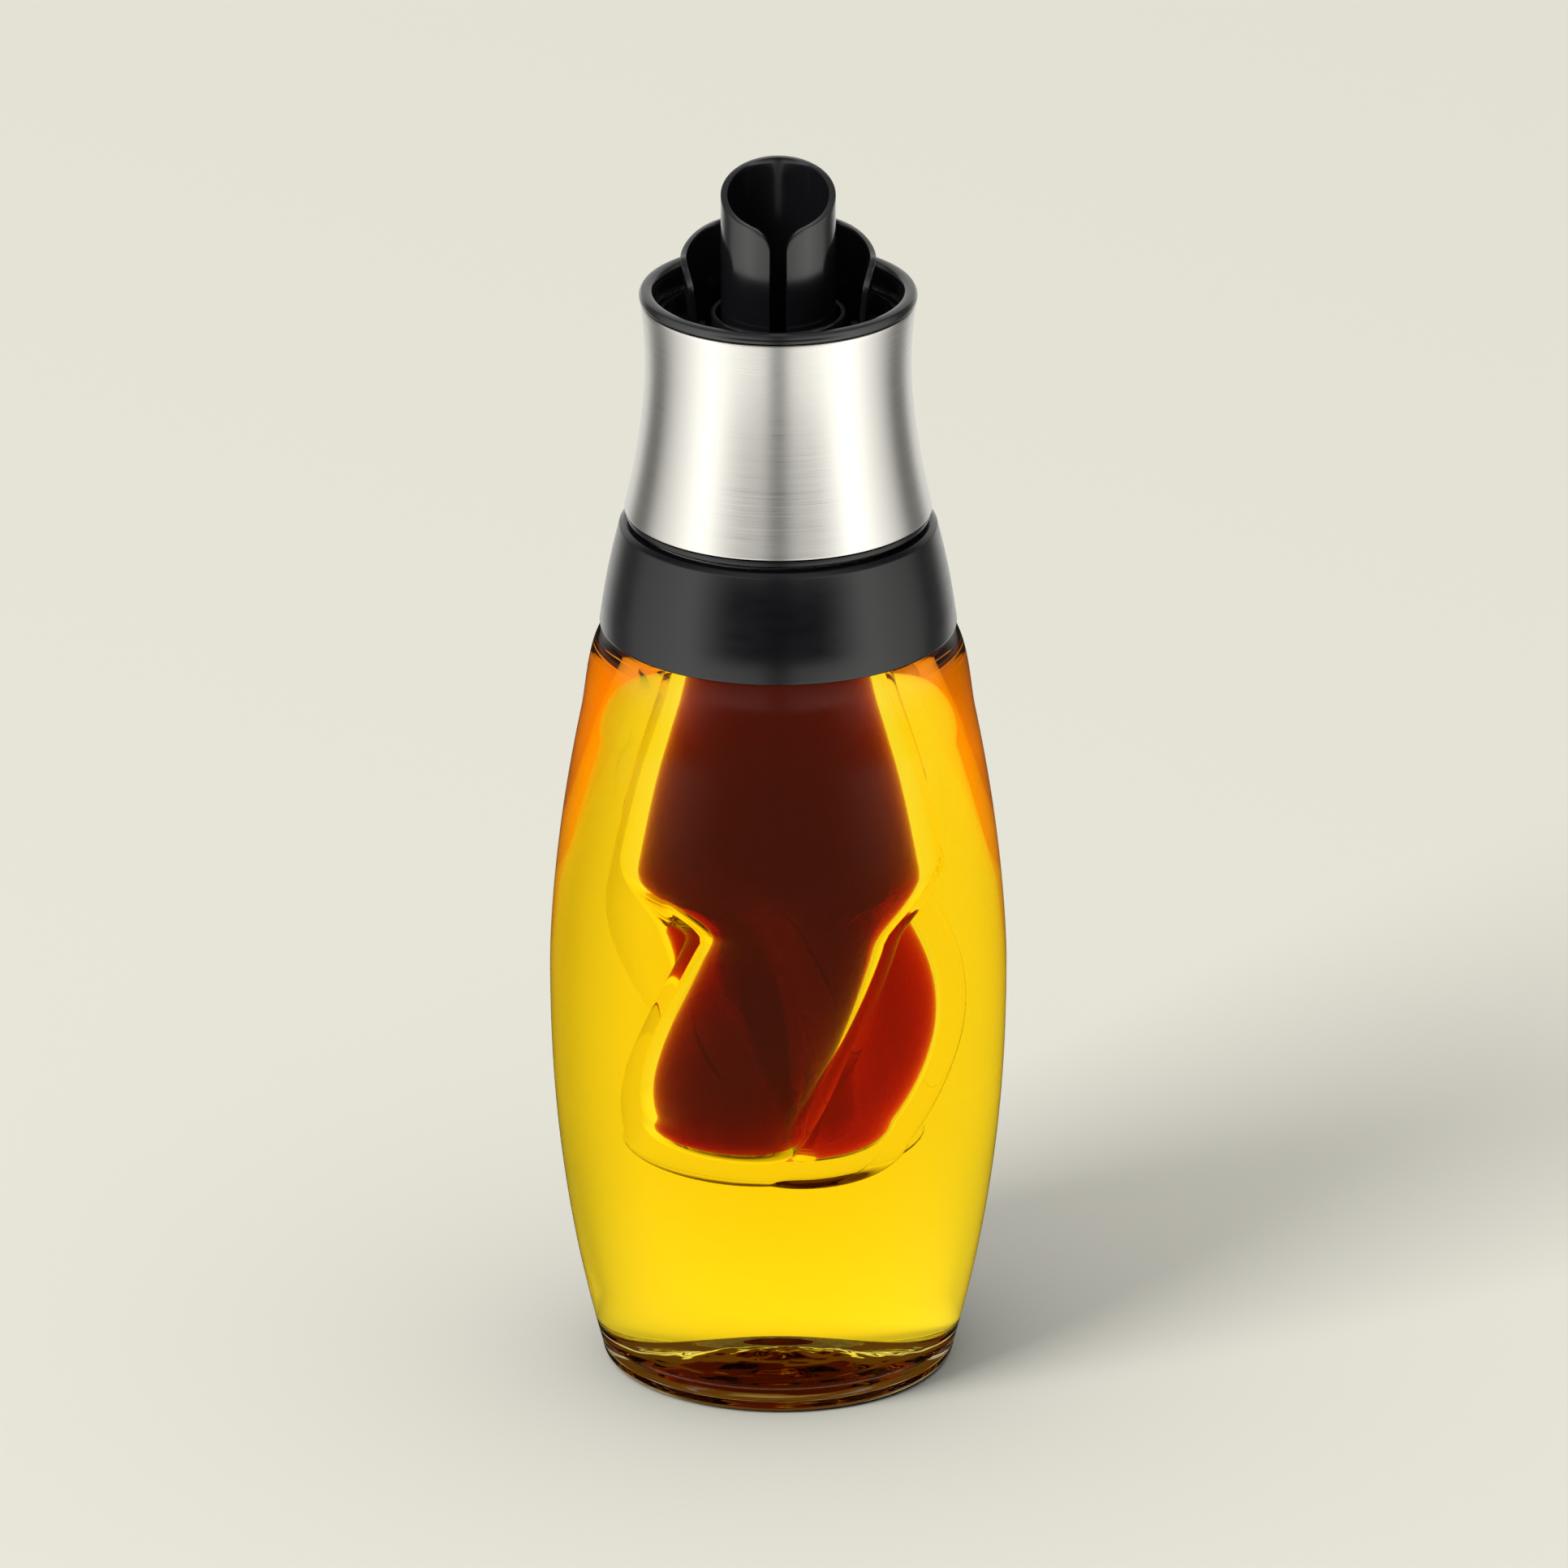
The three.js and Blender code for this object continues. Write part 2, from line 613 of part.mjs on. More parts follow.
function oRing(pipeR) {
  const squeezed = 0.28; // half of the section's width between the pipe and the spout
  const geometry = new THREE.TorusGeometry(pipeR + 0.05, squeezed, 4, SEGMENTS);
  geometry.scale(1, 1, O_RING_SECTION_R / squeezed);
  geometry.translate(0, 0, O_RING_Z);
  return geometry;
}

function postPlace(side) {
  return [side * POST_PITCH_R * Math.sin(POST_ANGLE), -POST_PITCH_R * Math.cos(POST_ANGLE)];
}

function guidePost(side) {
  const [x, y] = postPlace(side);
  return rod(POST_R, CAP_TOP_Z + 2 * GAP + 0.3, POST_TOP_Z, x, y, 12);
}

function slipWasher() {
  const bottomZ = CAP_TOP_Z + GAP + WASHER_SEAT_HEIGHT + SLIP_GAP;
  return ring(RING_SEAT_R + GAP, WASHER_SEAT_R - GAP, bottomZ, bottomZ + WASHER_HEIGHT);
}

function retainingRing() {
  return ring(HUB_R + SLIP_GAP, LINER_BORE_R - SLIP_GAP, LINER_LIP_TOP_Z + GAP, HUB_LIP_Z - GAP);
}

// ---------------------------------------------------------------- collar

function sleeveR(z) {
  if (z < SLEEVE_WAIST_Z) {
    const share = (SLEEVE_WAIST_Z - z) / (SLEEVE_WAIST_Z - SLEEVE_BOTTOM_Z);
    return SLEEVE_WAIST_R + (SLEEVE_BOTTOM_R - SLEEVE_WAIST_R) * share ** SLEEVE_POWER;
  }
  const share = (z - SLEEVE_WAIST_Z) / (SLEEVE_TOP_Z - SLEEVE_WAIST_Z);
  return SLEEVE_WAIST_R + (SLEEVE_TOP_R - SLEEVE_WAIST_R) * share ** 2;
}

function steelSleeve() {
  const innerR = (z) => sleeveR(z) - SLEEVE_WALL;
  return turned([
    ...wall(sleeveR, SLEEVE_BOTTOM_Z, SLEEVE_TOP_Z, 8),
    ...wall(innerR, SLEEVE_TOP_Z, SLEEVE_BOTTOM_Z, 6),
  ]);
}

function stepRing() {
  const bore = LINER_R + GAP;
  return ring(bore, STEP_R, STEP_BOTTOM_Z, STEP_TOP_Z);
}

// A helical slot through the liner wall, swept as a small block along the path of a cam pin.
function camSlot(startAngle) {
  const halfWidth = PIN_R + PIN_CLEARANCE;
  const steps = 16;
  const overrun = THREE.MathUtils.degToRad(4);
  const inner = LINER_BORE_R - 1;
  const outer = LINER_R + 1;
  const loops = [];
  for (let i = 0; i <= steps; i += 1) {
    const turn = THREE.MathUtils.lerp(-overrun, TWIST + overrun, i / steps);
    const z = PLATE_Z - (LIFT * turn) / TWIST;
    const slope = Math.hypot(1, LIFT / TWIST / LINER_R);
    const angle = startAngle + turn;
    const along = new THREE.Vector3(Math.cos(angle), Math.sin(angle), 0);
    const half = halfWidth * slope;
    loops.push([[inner, half], [outer, half], [outer, -half], [inner, -half]].map(
      ([r, dz]) => along.clone().multiplyScalar(r).setZ(z + dz),
    ));
  }
  return skinned(loops);
}

function collarLiner() {
  const body = turned([
    [LINER_LIP_R, LINER_BOTTOM_Z],
    [LINER_R, LINER_BOTTOM_Z],
    [LINER_R, LINER_TOP_Z],
    [LINER_BORE_R, LINER_TOP_Z],
    [LINER_BORE_R, LINER_LIP_TOP_Z],
    [LINER_LIP_R, LINER_LIP_TOP_Z],
  ]);
  return cut(body, camSlot(0), camSlot(Math.PI));
}

function rimRing() {
  const middleR = (RIM_BORE_R + RIM_R) / 2;
  const halfWidth = (RIM_R - RIM_BORE_R) / 2;
  const roundZ = RIM_TOP_Z - 0.9;
  const skirtR = 22.6;
  return turned([
    [RIM_BORE_R, LINER_TOP_Z + GAP],
    [skirtR, LINER_TOP_Z + GAP],
    [skirtR, SLEEVE_TOP_Z + GAP],
    [RIM_R, SLEEVE_TOP_Z + GAP],
    ...arc(middleR, roundZ, halfWidth, 0.9, 0, 180, 4),
  ]);
}

// ---------------------------------------------------------------- spouts

// The slanted mouth and the drip slot down the front of the vinegar spout.
function vinegarSpout() {
  const tube = ring(VINEGAR_SPOUT_BORE_R, VINEGAR_SPOUT_R, SPOUT_BOTTOM_Z, SPOUT_TOP_Z, 40);
  const frontZ = SPOUT_TOP_Z - 2 * VINEGAR_SPOUT_R * SPOUT_SLANT;
  const reach = VINEGAR_SPOUT_R + 2;
  const above = SPOUT_TOP_Z + 5;
  const mouth = new THREE.Shape();
  mouth.moveTo(-reach, frontZ - (reach - VINEGAR_SPOUT_R) * SPOUT_SLANT);
  mouth.lineTo(reach, SPOUT_TOP_Z + (reach - VINEGAR_SPOUT_R) * SPOUT_SLANT);
  mouth.lineTo(reach, above);
  mouth.lineTo(-reach, above);
  const slot = new THREE.Shape();
  const cornerZ = frontZ - SLOT_CORNER_R + 0.7;
  const wide = SLOT_HALF_WIDTH + SLOT_CORNER_R;
  slot.moveTo(-SLOT_HALF_WIDTH, SLOT_BOTTOM_Z);
  slot.lineTo(SLOT_HALF_WIDTH, SLOT_BOTTOM_Z);
  slot.lineTo(SLOT_HALF_WIDTH, cornerZ);
  slot.quadraticCurveTo(SLOT_HALF_WIDTH, cornerZ + SLOT_CORNER_R, wide, cornerZ + SLOT_CORNER_R);
  slot.lineTo(wide, above);
  slot.lineTo(-wide, above);
  slot.lineTo(-wide, cornerZ + SLOT_CORNER_R);
  slot.quadraticCurveTo(-SLOT_HALF_WIDTH, cornerZ + SLOT_CORNER_R, -SLOT_HALF_WIDTH, cornerZ);
  return cut(tube, sideCutter(mouth, reach), frontCutter(slot, reach));
}

function dripRing() {
  return turned([
    [VINEGAR_SPOUT_R + SLIP_GAP, DRIP_RING_FLOOR_Z],
    [DRIP_RING_R, DRIP_RING_FLOOR_Z],
    [DRIP_RING_R, DRIP_RING_TOP_Z],
    [DRIP_RING_BORE_R, DRIP_RING_TOP_Z],
    [DRIP_RING_BORE_R, DRIP_RING_FLOOR_Z + 1],
    [VINEGAR_SPOUT_R + SLIP_GAP, DRIP_RING_FLOOR_Z + 1],
  ]);
}

function troughR(z) {
  const share = THREE.MathUtils.clamp((z - TROUGH_BASE_Z) / (TROUGH_TOP_Z - TROUGH_BASE_Z), 0, 1);
  return TROUGH_R + (TROUGH_LIP_R - TROUGH_R) * share ** 1.2;
}

// A round tube below, opening into a flared trough at the back with two closing webs.
function oilSpout() {
  const innerR = (z) => troughR(z) - TROUGH_WALL;
  const shell = turned([
    [TROUGH_R - TROUGH_WALL, SPOUT_BOTTOM_Z],
    [TROUGH_R, SPOUT_BOTTOM_Z],
    ...wall(troughR, TROUGH_BASE_Z, TROUGH_TOP_Z, 3),
    ...wall(innerR, TROUGH_TOP_Z, TROUGH_BASE_Z, 3),
  ], 40);
  const sideTopZ = TROUGH_TOP_Z - 2.3;
  const back = TROUGH_LIP_R + 2;
  const above = TROUGH_TOP_Z + 5;
  const front = new THREE.Shape();
  front.moveTo(-back, TROUGH_BASE_Z);
  front.lineTo(TROUGH_EDGE_Y, TROUGH_BASE_Z);
  front.lineTo(TROUGH_EDGE_Y + 0.2, sideTopZ - 5);
  front.quadraticCurveTo(TROUGH_EDGE_Y + 0.8, sideTopZ - 0.6, 0, sideTopZ);
  front.quadraticCurveTo(TROUGH_LIP_R * 0.6, TROUGH_TOP_Z - 0.2, back, TROUGH_TOP_Z);
  front.lineTo(back, above);
  front.lineTo(-back, above);
  return cut(shell, sideCutter(front, back));
}

function spoutCarrier() {
  const half = PLATE_THICKNESS / 2;
  const rimHalf = PLATE_RIM_HEIGHT / 2;
  const plate = turned([
    [PLATE_BORE_R, PLATE_Z - half],
    [PLATE_RIM_BORE_R, PLATE_Z - half],
    [PLATE_RIM_BORE_R, PLATE_Z - rimHalf],
    [PLATE_R, PLATE_Z - rimHalf],
    [PLATE_R, PLATE_Z + rimHalf],
    [PLATE_RIM_BORE_R, PLATE_Z + rimHalf],
    [PLATE_RIM_BORE_R, PLATE_Z + half],
    [PLATE_BORE_R, PLATE_Z + half],
  ]);
  const pinHole = rod(PIN_R + PIN_CLEARANCE, -PLATE_R - 1, PLATE_R + 1);
  pinHole.rotateY(Math.PI / 2);
  pinHole.translate(0, 0, PLATE_Z);
  const notches = [-1, 1].map((side) => {
    const [x, y] = postPlace(side);
    return rod(POST_R + GAP, PLATE_Z - rimHalf - 1, PLATE_Z + rimHalf + 1, x, y);
  });
  return cut(plate, pinHole, ...notches);
}

function camPin(side) {
  const geometry = rod(PIN_R, PIN_INNER_R, PIN_OUTER_R, 0, 0, 12);
  geometry.rotateY((side * Math.PI) / 2);
  geometry.translate(0, 0, PLATE_Z);
  return geometry;
}

// ---------------------------------------------------------------- assembly

function piece(name, geometry, material) {
  const mesh = new THREE.Mesh(geometry, material);
  mesh.name = name;
  return mesh;
}

function group(...members) {
  const assembly = new THREE.Group();
  assembly.add(...members);
  return assembly;
}

const vesselUnit = group(
  piece('inner_vessel', innerVessel(), FINISHES.vesselGlass),
  piece('vessel_carrier', vesselCarrier(), FINISHES.innerPlastic),
  piece('carrier_gasket', carrierGasket(), FINISHES.silicone),
  piece('vessel_grommet', vesselGrommet(), FINISHES.silicone),
);

const head = group(
  piece('base_ring', baseRing(), FINISHES.blackSatin),
  piece('neck_cap', neckCap(), FINISHES.innerPlastic),
  piece('duct_block', ductBlock(), FINISHES.blackGloss),
  piece('cap_seal', capSeal(), FINISHES.silicone),
  piece('vinegar_seal', vinegarSeal(), FINISHES.silicone),
  piece('vinegar_pipe_o_ring', oRing(VINEGAR_PIPE_R), FINISHES.silicone),
  piece('oil_pipe_o_ring', oRing(OIL_PIPE_R), FINISHES.silicone),
  piece('guide_post_left', guidePost(-1), FINISHES.plainSteel),
  piece('guide_post_right', guidePost(1), FINISHES.plainSteel),
  piece('slip_washer', slipWasher(), FINISHES.acetal),
  piece('retaining_ring', retainingRing(), FINISHES.plainSteel),
);

const collar = group(
  piece('steel_sleeve', steelSleeve(), FINISHES.brushedSteel),
  piece('collar_liner', collarLiner(), FINISHES.blackGloss),
  piece('rim_ring', rimRing(), FINISHES.blackGloss),
  piece('step_ring', stepRing(), FINISHES.blackSatin),
);

const spouts = group(
  piece('vinegar_spout', vinegarSpout(), FINISHES.blackGloss),
  piece('drip_ring', dripRing(), FINISHES.blackGloss),
  piece('oil_spout', oilSpout(), FINISHES.blackGloss),
  piece('spout_carrier', spoutCarrier(), FINISHES.blackGloss),
  piece('cam_pin_left', camPin(-1), FINISHES.plainSteel),
  piece('cam_pin_right', camPin(1), FINISHES.plainSteel),
);

const pourer = group(
  piece('outer_bottle', outerBottle(), FINISHES.bottleGlass),
  vesselUnit,
  head,
  collar,
  spouts,
);

export default pourer;
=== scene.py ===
"""Looks of the oil and vinegar pourer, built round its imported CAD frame.

The pourer's lengths are millimetres in the frame's own axes: +Z up, the front of the pourer
towards -Y. The mesh builders turn them into Blender's metres. The studio's are in metres.
"""

import math

import bmesh
import bpy
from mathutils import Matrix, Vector


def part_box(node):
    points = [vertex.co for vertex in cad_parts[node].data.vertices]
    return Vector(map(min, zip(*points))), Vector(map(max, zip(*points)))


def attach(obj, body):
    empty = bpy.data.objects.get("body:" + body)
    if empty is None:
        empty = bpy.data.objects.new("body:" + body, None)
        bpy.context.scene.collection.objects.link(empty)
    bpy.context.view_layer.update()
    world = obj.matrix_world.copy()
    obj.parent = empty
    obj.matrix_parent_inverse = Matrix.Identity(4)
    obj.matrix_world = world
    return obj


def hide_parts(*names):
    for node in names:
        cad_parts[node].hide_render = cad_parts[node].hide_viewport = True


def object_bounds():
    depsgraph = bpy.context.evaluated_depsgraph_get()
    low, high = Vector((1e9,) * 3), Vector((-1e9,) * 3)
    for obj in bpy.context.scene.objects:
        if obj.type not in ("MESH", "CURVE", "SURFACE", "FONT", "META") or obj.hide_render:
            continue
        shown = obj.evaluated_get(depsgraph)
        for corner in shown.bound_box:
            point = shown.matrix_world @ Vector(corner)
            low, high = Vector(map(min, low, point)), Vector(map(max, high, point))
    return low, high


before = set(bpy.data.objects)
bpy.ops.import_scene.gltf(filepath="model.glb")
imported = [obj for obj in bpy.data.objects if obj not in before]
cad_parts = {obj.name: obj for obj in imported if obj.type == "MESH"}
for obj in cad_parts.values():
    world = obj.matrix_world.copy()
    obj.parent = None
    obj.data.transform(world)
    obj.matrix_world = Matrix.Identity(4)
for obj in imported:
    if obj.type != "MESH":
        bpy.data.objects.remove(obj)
cad_low, cad_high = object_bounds()

MM = 0.001
AROUND = 144  # sides of a full circle
VESSEL_AROUND = 240


# ---------------------------------------------------------------- sizes from the frame

def cad_box(node):
    """Lowest and highest corner of a CAD node, in millimetres."""
    low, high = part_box(node)
    return low / MM, high / MM


_, bottle_high = cad_box("outer_bottle")
vessel_low, vessel_high = cad_box("inner_vessel")
sleeve_low, sleeve_high = cad_box("steel_sleeve")
ring_low, _ = cad_box("base_ring")
vinegar_spout_low, vinegar_spout_high = cad_box("vinegar_spout")
oil_spout_low, oil_spout_high = cad_box("oil_spout")

# Bottle: a wall that swells to the belly, then a rounded shoulder and a plain neck.
BELLY_R = bottle_high.x
BELLY_Z = 73
BELLY_CURVE = 2.17  # how flat the wall stays near the belly, below and above it
UPPER_CURVE = 1.72
HEEL_R = 31
HEEL_Z = 2.2
SHOULDER_R = 34.1
SHOULDER_Z = 122
SHOULDER_START_Z = 121
SHOULDER_TOP_R = 27.4
SHOULDER_TOP_Z = ring_low.z + 1
SHOULDER_LEAN = 1.1  # how far the shoulder's curve leans in
SHOULDER_RISE = 6
GLASS_WALL = 3.2
FLOOR_ROUND = 6
FLOOR_Z = 3.8  # the floor inside is domed: its edge and its middle
FLOOR_TOP_Z = 9.5
FLOOR_R = 24
PUNT_R = 22  # the punt is the domed hollow under the bottle
PUNT_Z = 6.8
PUNT_EDGE_Z = 1
PUNT_RIDGES = ((0.3, 6.4, 1), (0.1, 2.7, -1))  # height, spacing, and which way they waver
FOOT_WIDTH = 3
NECK_R = 24.4
NECK_BORE_R = 22.2
LIP_ROUND = 0.8
BEAD_Z = 144
BEAD_DEPTH = 0.4
NECK_TOP_Z = bottle_high.z

# Inner vessel: three twisted lobes under a round neck.
VESSEL_BOTTOM_Z = vessel_low.z
VESSEL_TOP_Z = vessel_high.z
VESSEL_WALL = 1.7
VESSEL_FLOOR = 4
VESSEL_NECK_R = 11
VESSEL_LIP_R = 13
VESSEL_LIP_HEIGHT = 1.8
VESSEL_SHAPE = [
    (2.5, 14), (8, 18.8), (22, 21.6), (38, 21), (62, 18.3), (80, 15.2), (94, 11.7), (100, 11),
]  # height over the bottom, outer radius over the lobes
VESSEL_NECK_HEIGHT = VESSEL_SHAPE[-1][0]
BOTTOM_POWER = 2.6  # how square the vessel's bottom is
VESSEL_LEVELS = 70
# each lobe's direction in degrees, its centre's share of the radius, its extra glass inside
LOBES = ((0, 0.34, 0.5), (125, 0.58, 1.4), (-143, 0.52, 4.0))
LOBE_TWIST = math.radians(2.4)  # turn of the lobes for each mm of height
LOBE_TURN = math.radians(-98)  # direction of the front lobe at LOBE_Z
LOBE_Z = 72
CREASE_START_Z = 92  # the vessel is round above this height
CREASE_FADE = 10  # height in which the creases come in
CREASE_ROUND = 2.5  # how softly two lobes run together, outside and inside
CREASE_ROUND_INSIDE = 0.8

# Liquids.
OIL_LEVEL_Z = ring_low.z + 3
VINEGAR_LEVEL_Z = ring_low.z + 2
LIQUID_GAP = 0.05
MENISCUS = 1.5  # width of the edge of oil that climbs the glass

# Sleeve.
WAIST_Z = 185
WAIST_R = 23.1
SLEEVE_TOP_R = 24
SLEEVE_WALL = 0.7
SLEEVE_LOWER_CURVE = 1.75  # how slowly the waist opens, below and above it
SLEEVE_UPPER_CURVE = 2

# Spouts.
SPOUT_R = vinegar_spout_high.x
SPOUT_WALL = 1.15
SPOUT_SLANT = 0.385
SLOT_HALF_WIDTH = 1.4
SLOT_BOTTOM_Z = 193
SLOT_CORNER_R = 4
SPOUT_RIM_ROUND = 0.28
TROUGH_R = 15.6
TROUGH_LIP_R = oil_spout_high.y
TROUGH_WALL = 1
TROUGH_BASE_Z = 190.5
TROUGH_EDGE_Y = -5
TROUGH_SIDE_DROP = 2.3  # how far the trough's side corners lie under its back edge
TROUGH_CORNER_DROP = 5.5
TROUGH_RIM_ROUND = 0.3


# ---------------------------------------------------------------- mesh helpers

def finish_mesh(name, mesh, materials, smooth_angle=40):
    """Turns a bmesh in millimetres into a shaded Blender object in metres."""
    bmesh.ops.recalc_face_normals(mesh, faces=mesh.faces)
    bmesh.ops.scale(mesh, vec=(MM, MM, MM), verts=mesh.verts)
    data = bpy.data.meshes.new(name)
    mesh.to_mesh(data)
    mesh.free()
    for material in materials:
        data.materials.append(material)
    data.shade_smooth()
    data.set_sharp_from_angle(angle=math.radians(smooth_angle))
    made = bpy.data.objects.new(name, data)
    bpy.context.scene.collection.objects.link(made)
    return made


def on_circle(radius, angle, z):
    return (radius * math.cos(angle), radius * math.sin(angle), z)


def lofted(loops, closed_along=False, material_at=None):
    """A bmesh skin over loops with equal numbers of points. Open ends are closed with a fan."""
    mesh = bmesh.new()
    rings = [[mesh.verts.new(p) for p in loop] for loop in loops]
    count = len(rings[0])
    pairs = list(zip(rings, rings[1:]))
    if closed_along:
        pairs.append((rings[-1], rings[0]))
    for level, (low, high) in enumerate(pairs):
        for i in range(count):
            j = (i + 1) % count
            face = mesh.faces.new((low[i], low[j], high[j], high[i]))
            if material_at:
                face.material_index = material_at(level)
    if not closed_along:
        for ring, level in ((rings[0], 0), (rings[-1], len(pairs) - 1)):
            middle = sum((v.co for v in ring), Vector()) / count
            hub = mesh.verts.new(middle)
            for i in range(count):
                face = mesh.faces.new((hub, ring[i], ring[(i + 1) % count]))
                if material_at:
                    face.material_index = material_at(level)
    return mesh


def turned(outline, material_at=None):
    """A bmesh of revolution from [radius, height] points. It closes on itself off the axis."""
    loops = [
        [on_circle(r, 2 * math.pi * i / AROUND, z) for i in range(AROUND)] for r, z in outline
    ]
    on_axis = outline[0][0] < 0.01 and outline[-1][0] < 0.01
    if on_axis:
        loops = loops[1:-1]
    return lofted(loops, closed_along=not on_axis, material_at=material_at)


def arc(centre_r, centre_z, radius_r, radius_z, start, stop, steps):
    """[radius, height] points along part of an ellipse, between two angles in degrees."""
    points = []
    for i in range(steps + 1):
        angle = math.radians(start + (stop - start) * i / steps)
        points.append((centre_r + radius_r * math.cos(angle), centre_z + radius_z * math.sin(angle)))
    return points


def bezier(start, leave, arrive, end, steps):
    """Points along a curve from start to end, which leaves and arrives towards the two others."""
    points = []
    for i in range(steps + 1):
        t = i / steps
        weights = ((1 - t) ** 3, 3 * t * (1 - t) ** 2, 3 * t * t * (1 - t), t ** 3)
        corners = (start, leave, arrive, end)
        points.append(tuple(sum(w * c[k] for w, c in zip(weights, corners)) for k in (0, 1)))
    return points


def wall(radius_at, from_z, to_z, steps):
    """[radius, height] points at even heights."""
    heights = [from_z + (to_z - from_z) * i / steps for i in range(steps + 1)]
    return [(radius_at(z), z) for z in heights]


def softened(outline, radius, steps=3):
    """A closed outline with each sharp corner turned into a small round."""
    points = []
    count = len(outline)
    for i in range(count):
        here = Vector(outline[i])
        before = Vector(outline[i - 1]) - here
        after = Vector(outline[(i + 1) % count]) - here
        turn = before.angle(-after)
        if turn < math.radians(35):
            points.append(tuple(here))
            continue
        reach = min(radius * math.tan(turn / 2), before.length * 0.45, after.length * 0.45)
        start = here + before.normalized() * reach
        end = here + after.normalized() * reach
        for k in range(steps + 1):
            t = k / steps
            p = start * (1 - t) ** 2 + here * 2 * t * (1 - t) + end * t * t
            points.append(tuple(p))
    return points


def cad_outline(node):
    """The closed [radius, height] outline of a turned CAD node, read where it crosses +X."""
    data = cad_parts[node].data
    places = {}
    for v in data.vertices:
        radius = v.co.x / MM
        if abs(v.co.y) < 2e-6 and radius > 0:
            places[v.index] = (round(radius, 3), round(v.co.z / MM, 3))
    joined = {place: set() for place in places.values()}
    for edge in data.edges:
        a, b = (places.get(i) for i in edge.vertices)
        if a and b and a != b:
            joined[a].add(b)
            joined[b].add(a)
    loose = sorted((p for p in joined if len(joined[p]) == 1), key=lambda p: (p[1], p[0]))
    for a, b in zip(loose[::2], loose[1::2]):
        joined[a].add(b)
        joined[b].add(a)
    outline = [min(joined, key=lambda p: (p[1], p[0]))]
    previous = None
    while True:
        following = [p for p in joined[outline[-1]] if p != previous]
        previous = outline[-1]
        if not following or following[0] == outline[0]:
            return outline
        outline.append(following[0])


def place(made, body, slot, *nodes):
    """The piece rides on its body and stands for its CAD nodes. The slot is not used."""
    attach(made, body)
    if nodes:
        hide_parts(*nodes)
    return made


def apply_modifiers(made):
    bpy.context.view_layer.update()
    depsgraph = bpy.context.evaluated_depsgraph_get()
    data = bpy.data.meshes.new_from_object(made.evaluated_get(depsgraph))
    made.modifiers.clear()
    made.data = data
    return made


# ---------------------------------------------------------------- material helpers

def new_material(name):
    material = bpy.data.materials.new(name)
    material.use_nodes = True
    tree = material.node_tree
    return material, tree, tree.nodes["Principled BSDF"]


def add_node(tree, kind, inputs=None, **settings):
    made = tree.nodes.new(kind)
    for key, value in settings.items():
        setattr(made, key, value)
    for key, value in (inputs or {}).items():
        if isinstance(value, bpy.types.NodeSocket):
            tree.links.new(value, made.inputs[key])
        else:
            made.inputs[key].default_value = value
    return made


def maths(tree, operation, a, b=0.0, c=0.0):
    made = add_node(tree, "ShaderNodeMath", {0: a, 1: b, 2: c}, operation=operation)
    return made.outputs[0]


def inverse(tree, share):
    return maths(tree, "SUBTRACT", 1.0, share)


def stretched_noise(tree, scale, stretch, detail=3.0, roughness=0.5):
    """Noise over object coordinates, stretched by a factor along each axis."""
    coordinates = add_node(tree, "ShaderNodeTexCoord").outputs["Object"]
    mapping = add_node(tree, "ShaderNodeMapping", {"Vector": coordinates, "Scale": stretch})
    texture = add_node(
        tree, "ShaderNodeTexNoise",
        {"Vector": mapping.outputs[0], "Scale": scale, "Detail": detail, "Roughness": roughness},
    )
    return texture.outputs["Fac"]


def remap(tree, value, low, high, from_low=0.3, from_high=0.7, interpolation="LINEAR"):
    """A value that runs from low to high as the given one runs from from_low to from_high."""
    made = add_node(
        tree, "ShaderNodeMapRange",
        {"Value": value, "From Min": from_low, "From Max": from_high, "To Min": low, "To Max": high},
        interpolation_type=interpolation,
    )
    return made.outputs["Result"]


def colour_between(tree, factor, first, second):
    """The first colour where the factor is 0, and the second where it is 1."""
    made = add_node(tree, "ShaderNodeMix", {"Factor": factor}, data_type="RGBA")
    first_socket, second_socket = made.inputs[6], made.inputs[7]
    first_socket.default_value = (*first, 1)
    second_socket.default_value = (*second, 1)
    return made.outputs[2]


def bump(tree, height, distance_mm):
    made = add_node(
        tree, "ShaderNodeBump", {"Height": height, "Distance": distance_mm * MM, "Strength": 1.0}
    )
    return made.outputs[0]


def glass(name, ior, ripple_mm=0.004):
    """Clear glass with the slow ripple that moulding or blowing leaves in its surface."""
    material, tree, shader = new_material(name)
    shader.inputs["Base Color"].default_value = (1, 1, 1, 1)
    shader.inputs["Roughness"].default_value = 0
    shader.inputs["Transmission Weight"].default_value = 1
    shader.inputs["IOR"].default_value = ior
    shader.inputs["Specular Tint"].default_value = (0.2, 0.2, 0.2, 1)
    if ripple_mm:
        ripple = stretched_noise(tree, 90, (1, 1, 0.5), detail=1)
        tree.links.new(bump(tree, ripple, ripple_mm), shader.inputs["Normal"])
    return material


def liquid(name, colour, density, painted_glow=(0, 0, 0)):
    """A coloured liquid whose surface can carry a faint painted glow, standing in for light
    scattered in it. The glass round it bends the light, so its index is 1.
    """
    material, tree, shader = new_material(name)
    shader.inputs["Base Color"].default_value = (1, 1, 1, 1)
    shader.inputs["Roughness"].default_value = 0
    shader.inputs["Transmission Weight"].default_value = 1
    shader.inputs["IOR"].default_value = 1
    # painted glow: the liquid's surface emits this colour, though it is no lamp
    shader.inputs["Emission Color"].default_value = (*painted_glow, 1)
    shader.inputs["Emission Strength"].default_value = 1
    absorption = add_node(
        tree, "ShaderNodeVolumeAbsorption", {"Color": (*colour, 1), "Density": density}
    )
    tree.links.new(absorption.outputs[0], tree.nodes["Material Output"].inputs["Volume"])
    return material


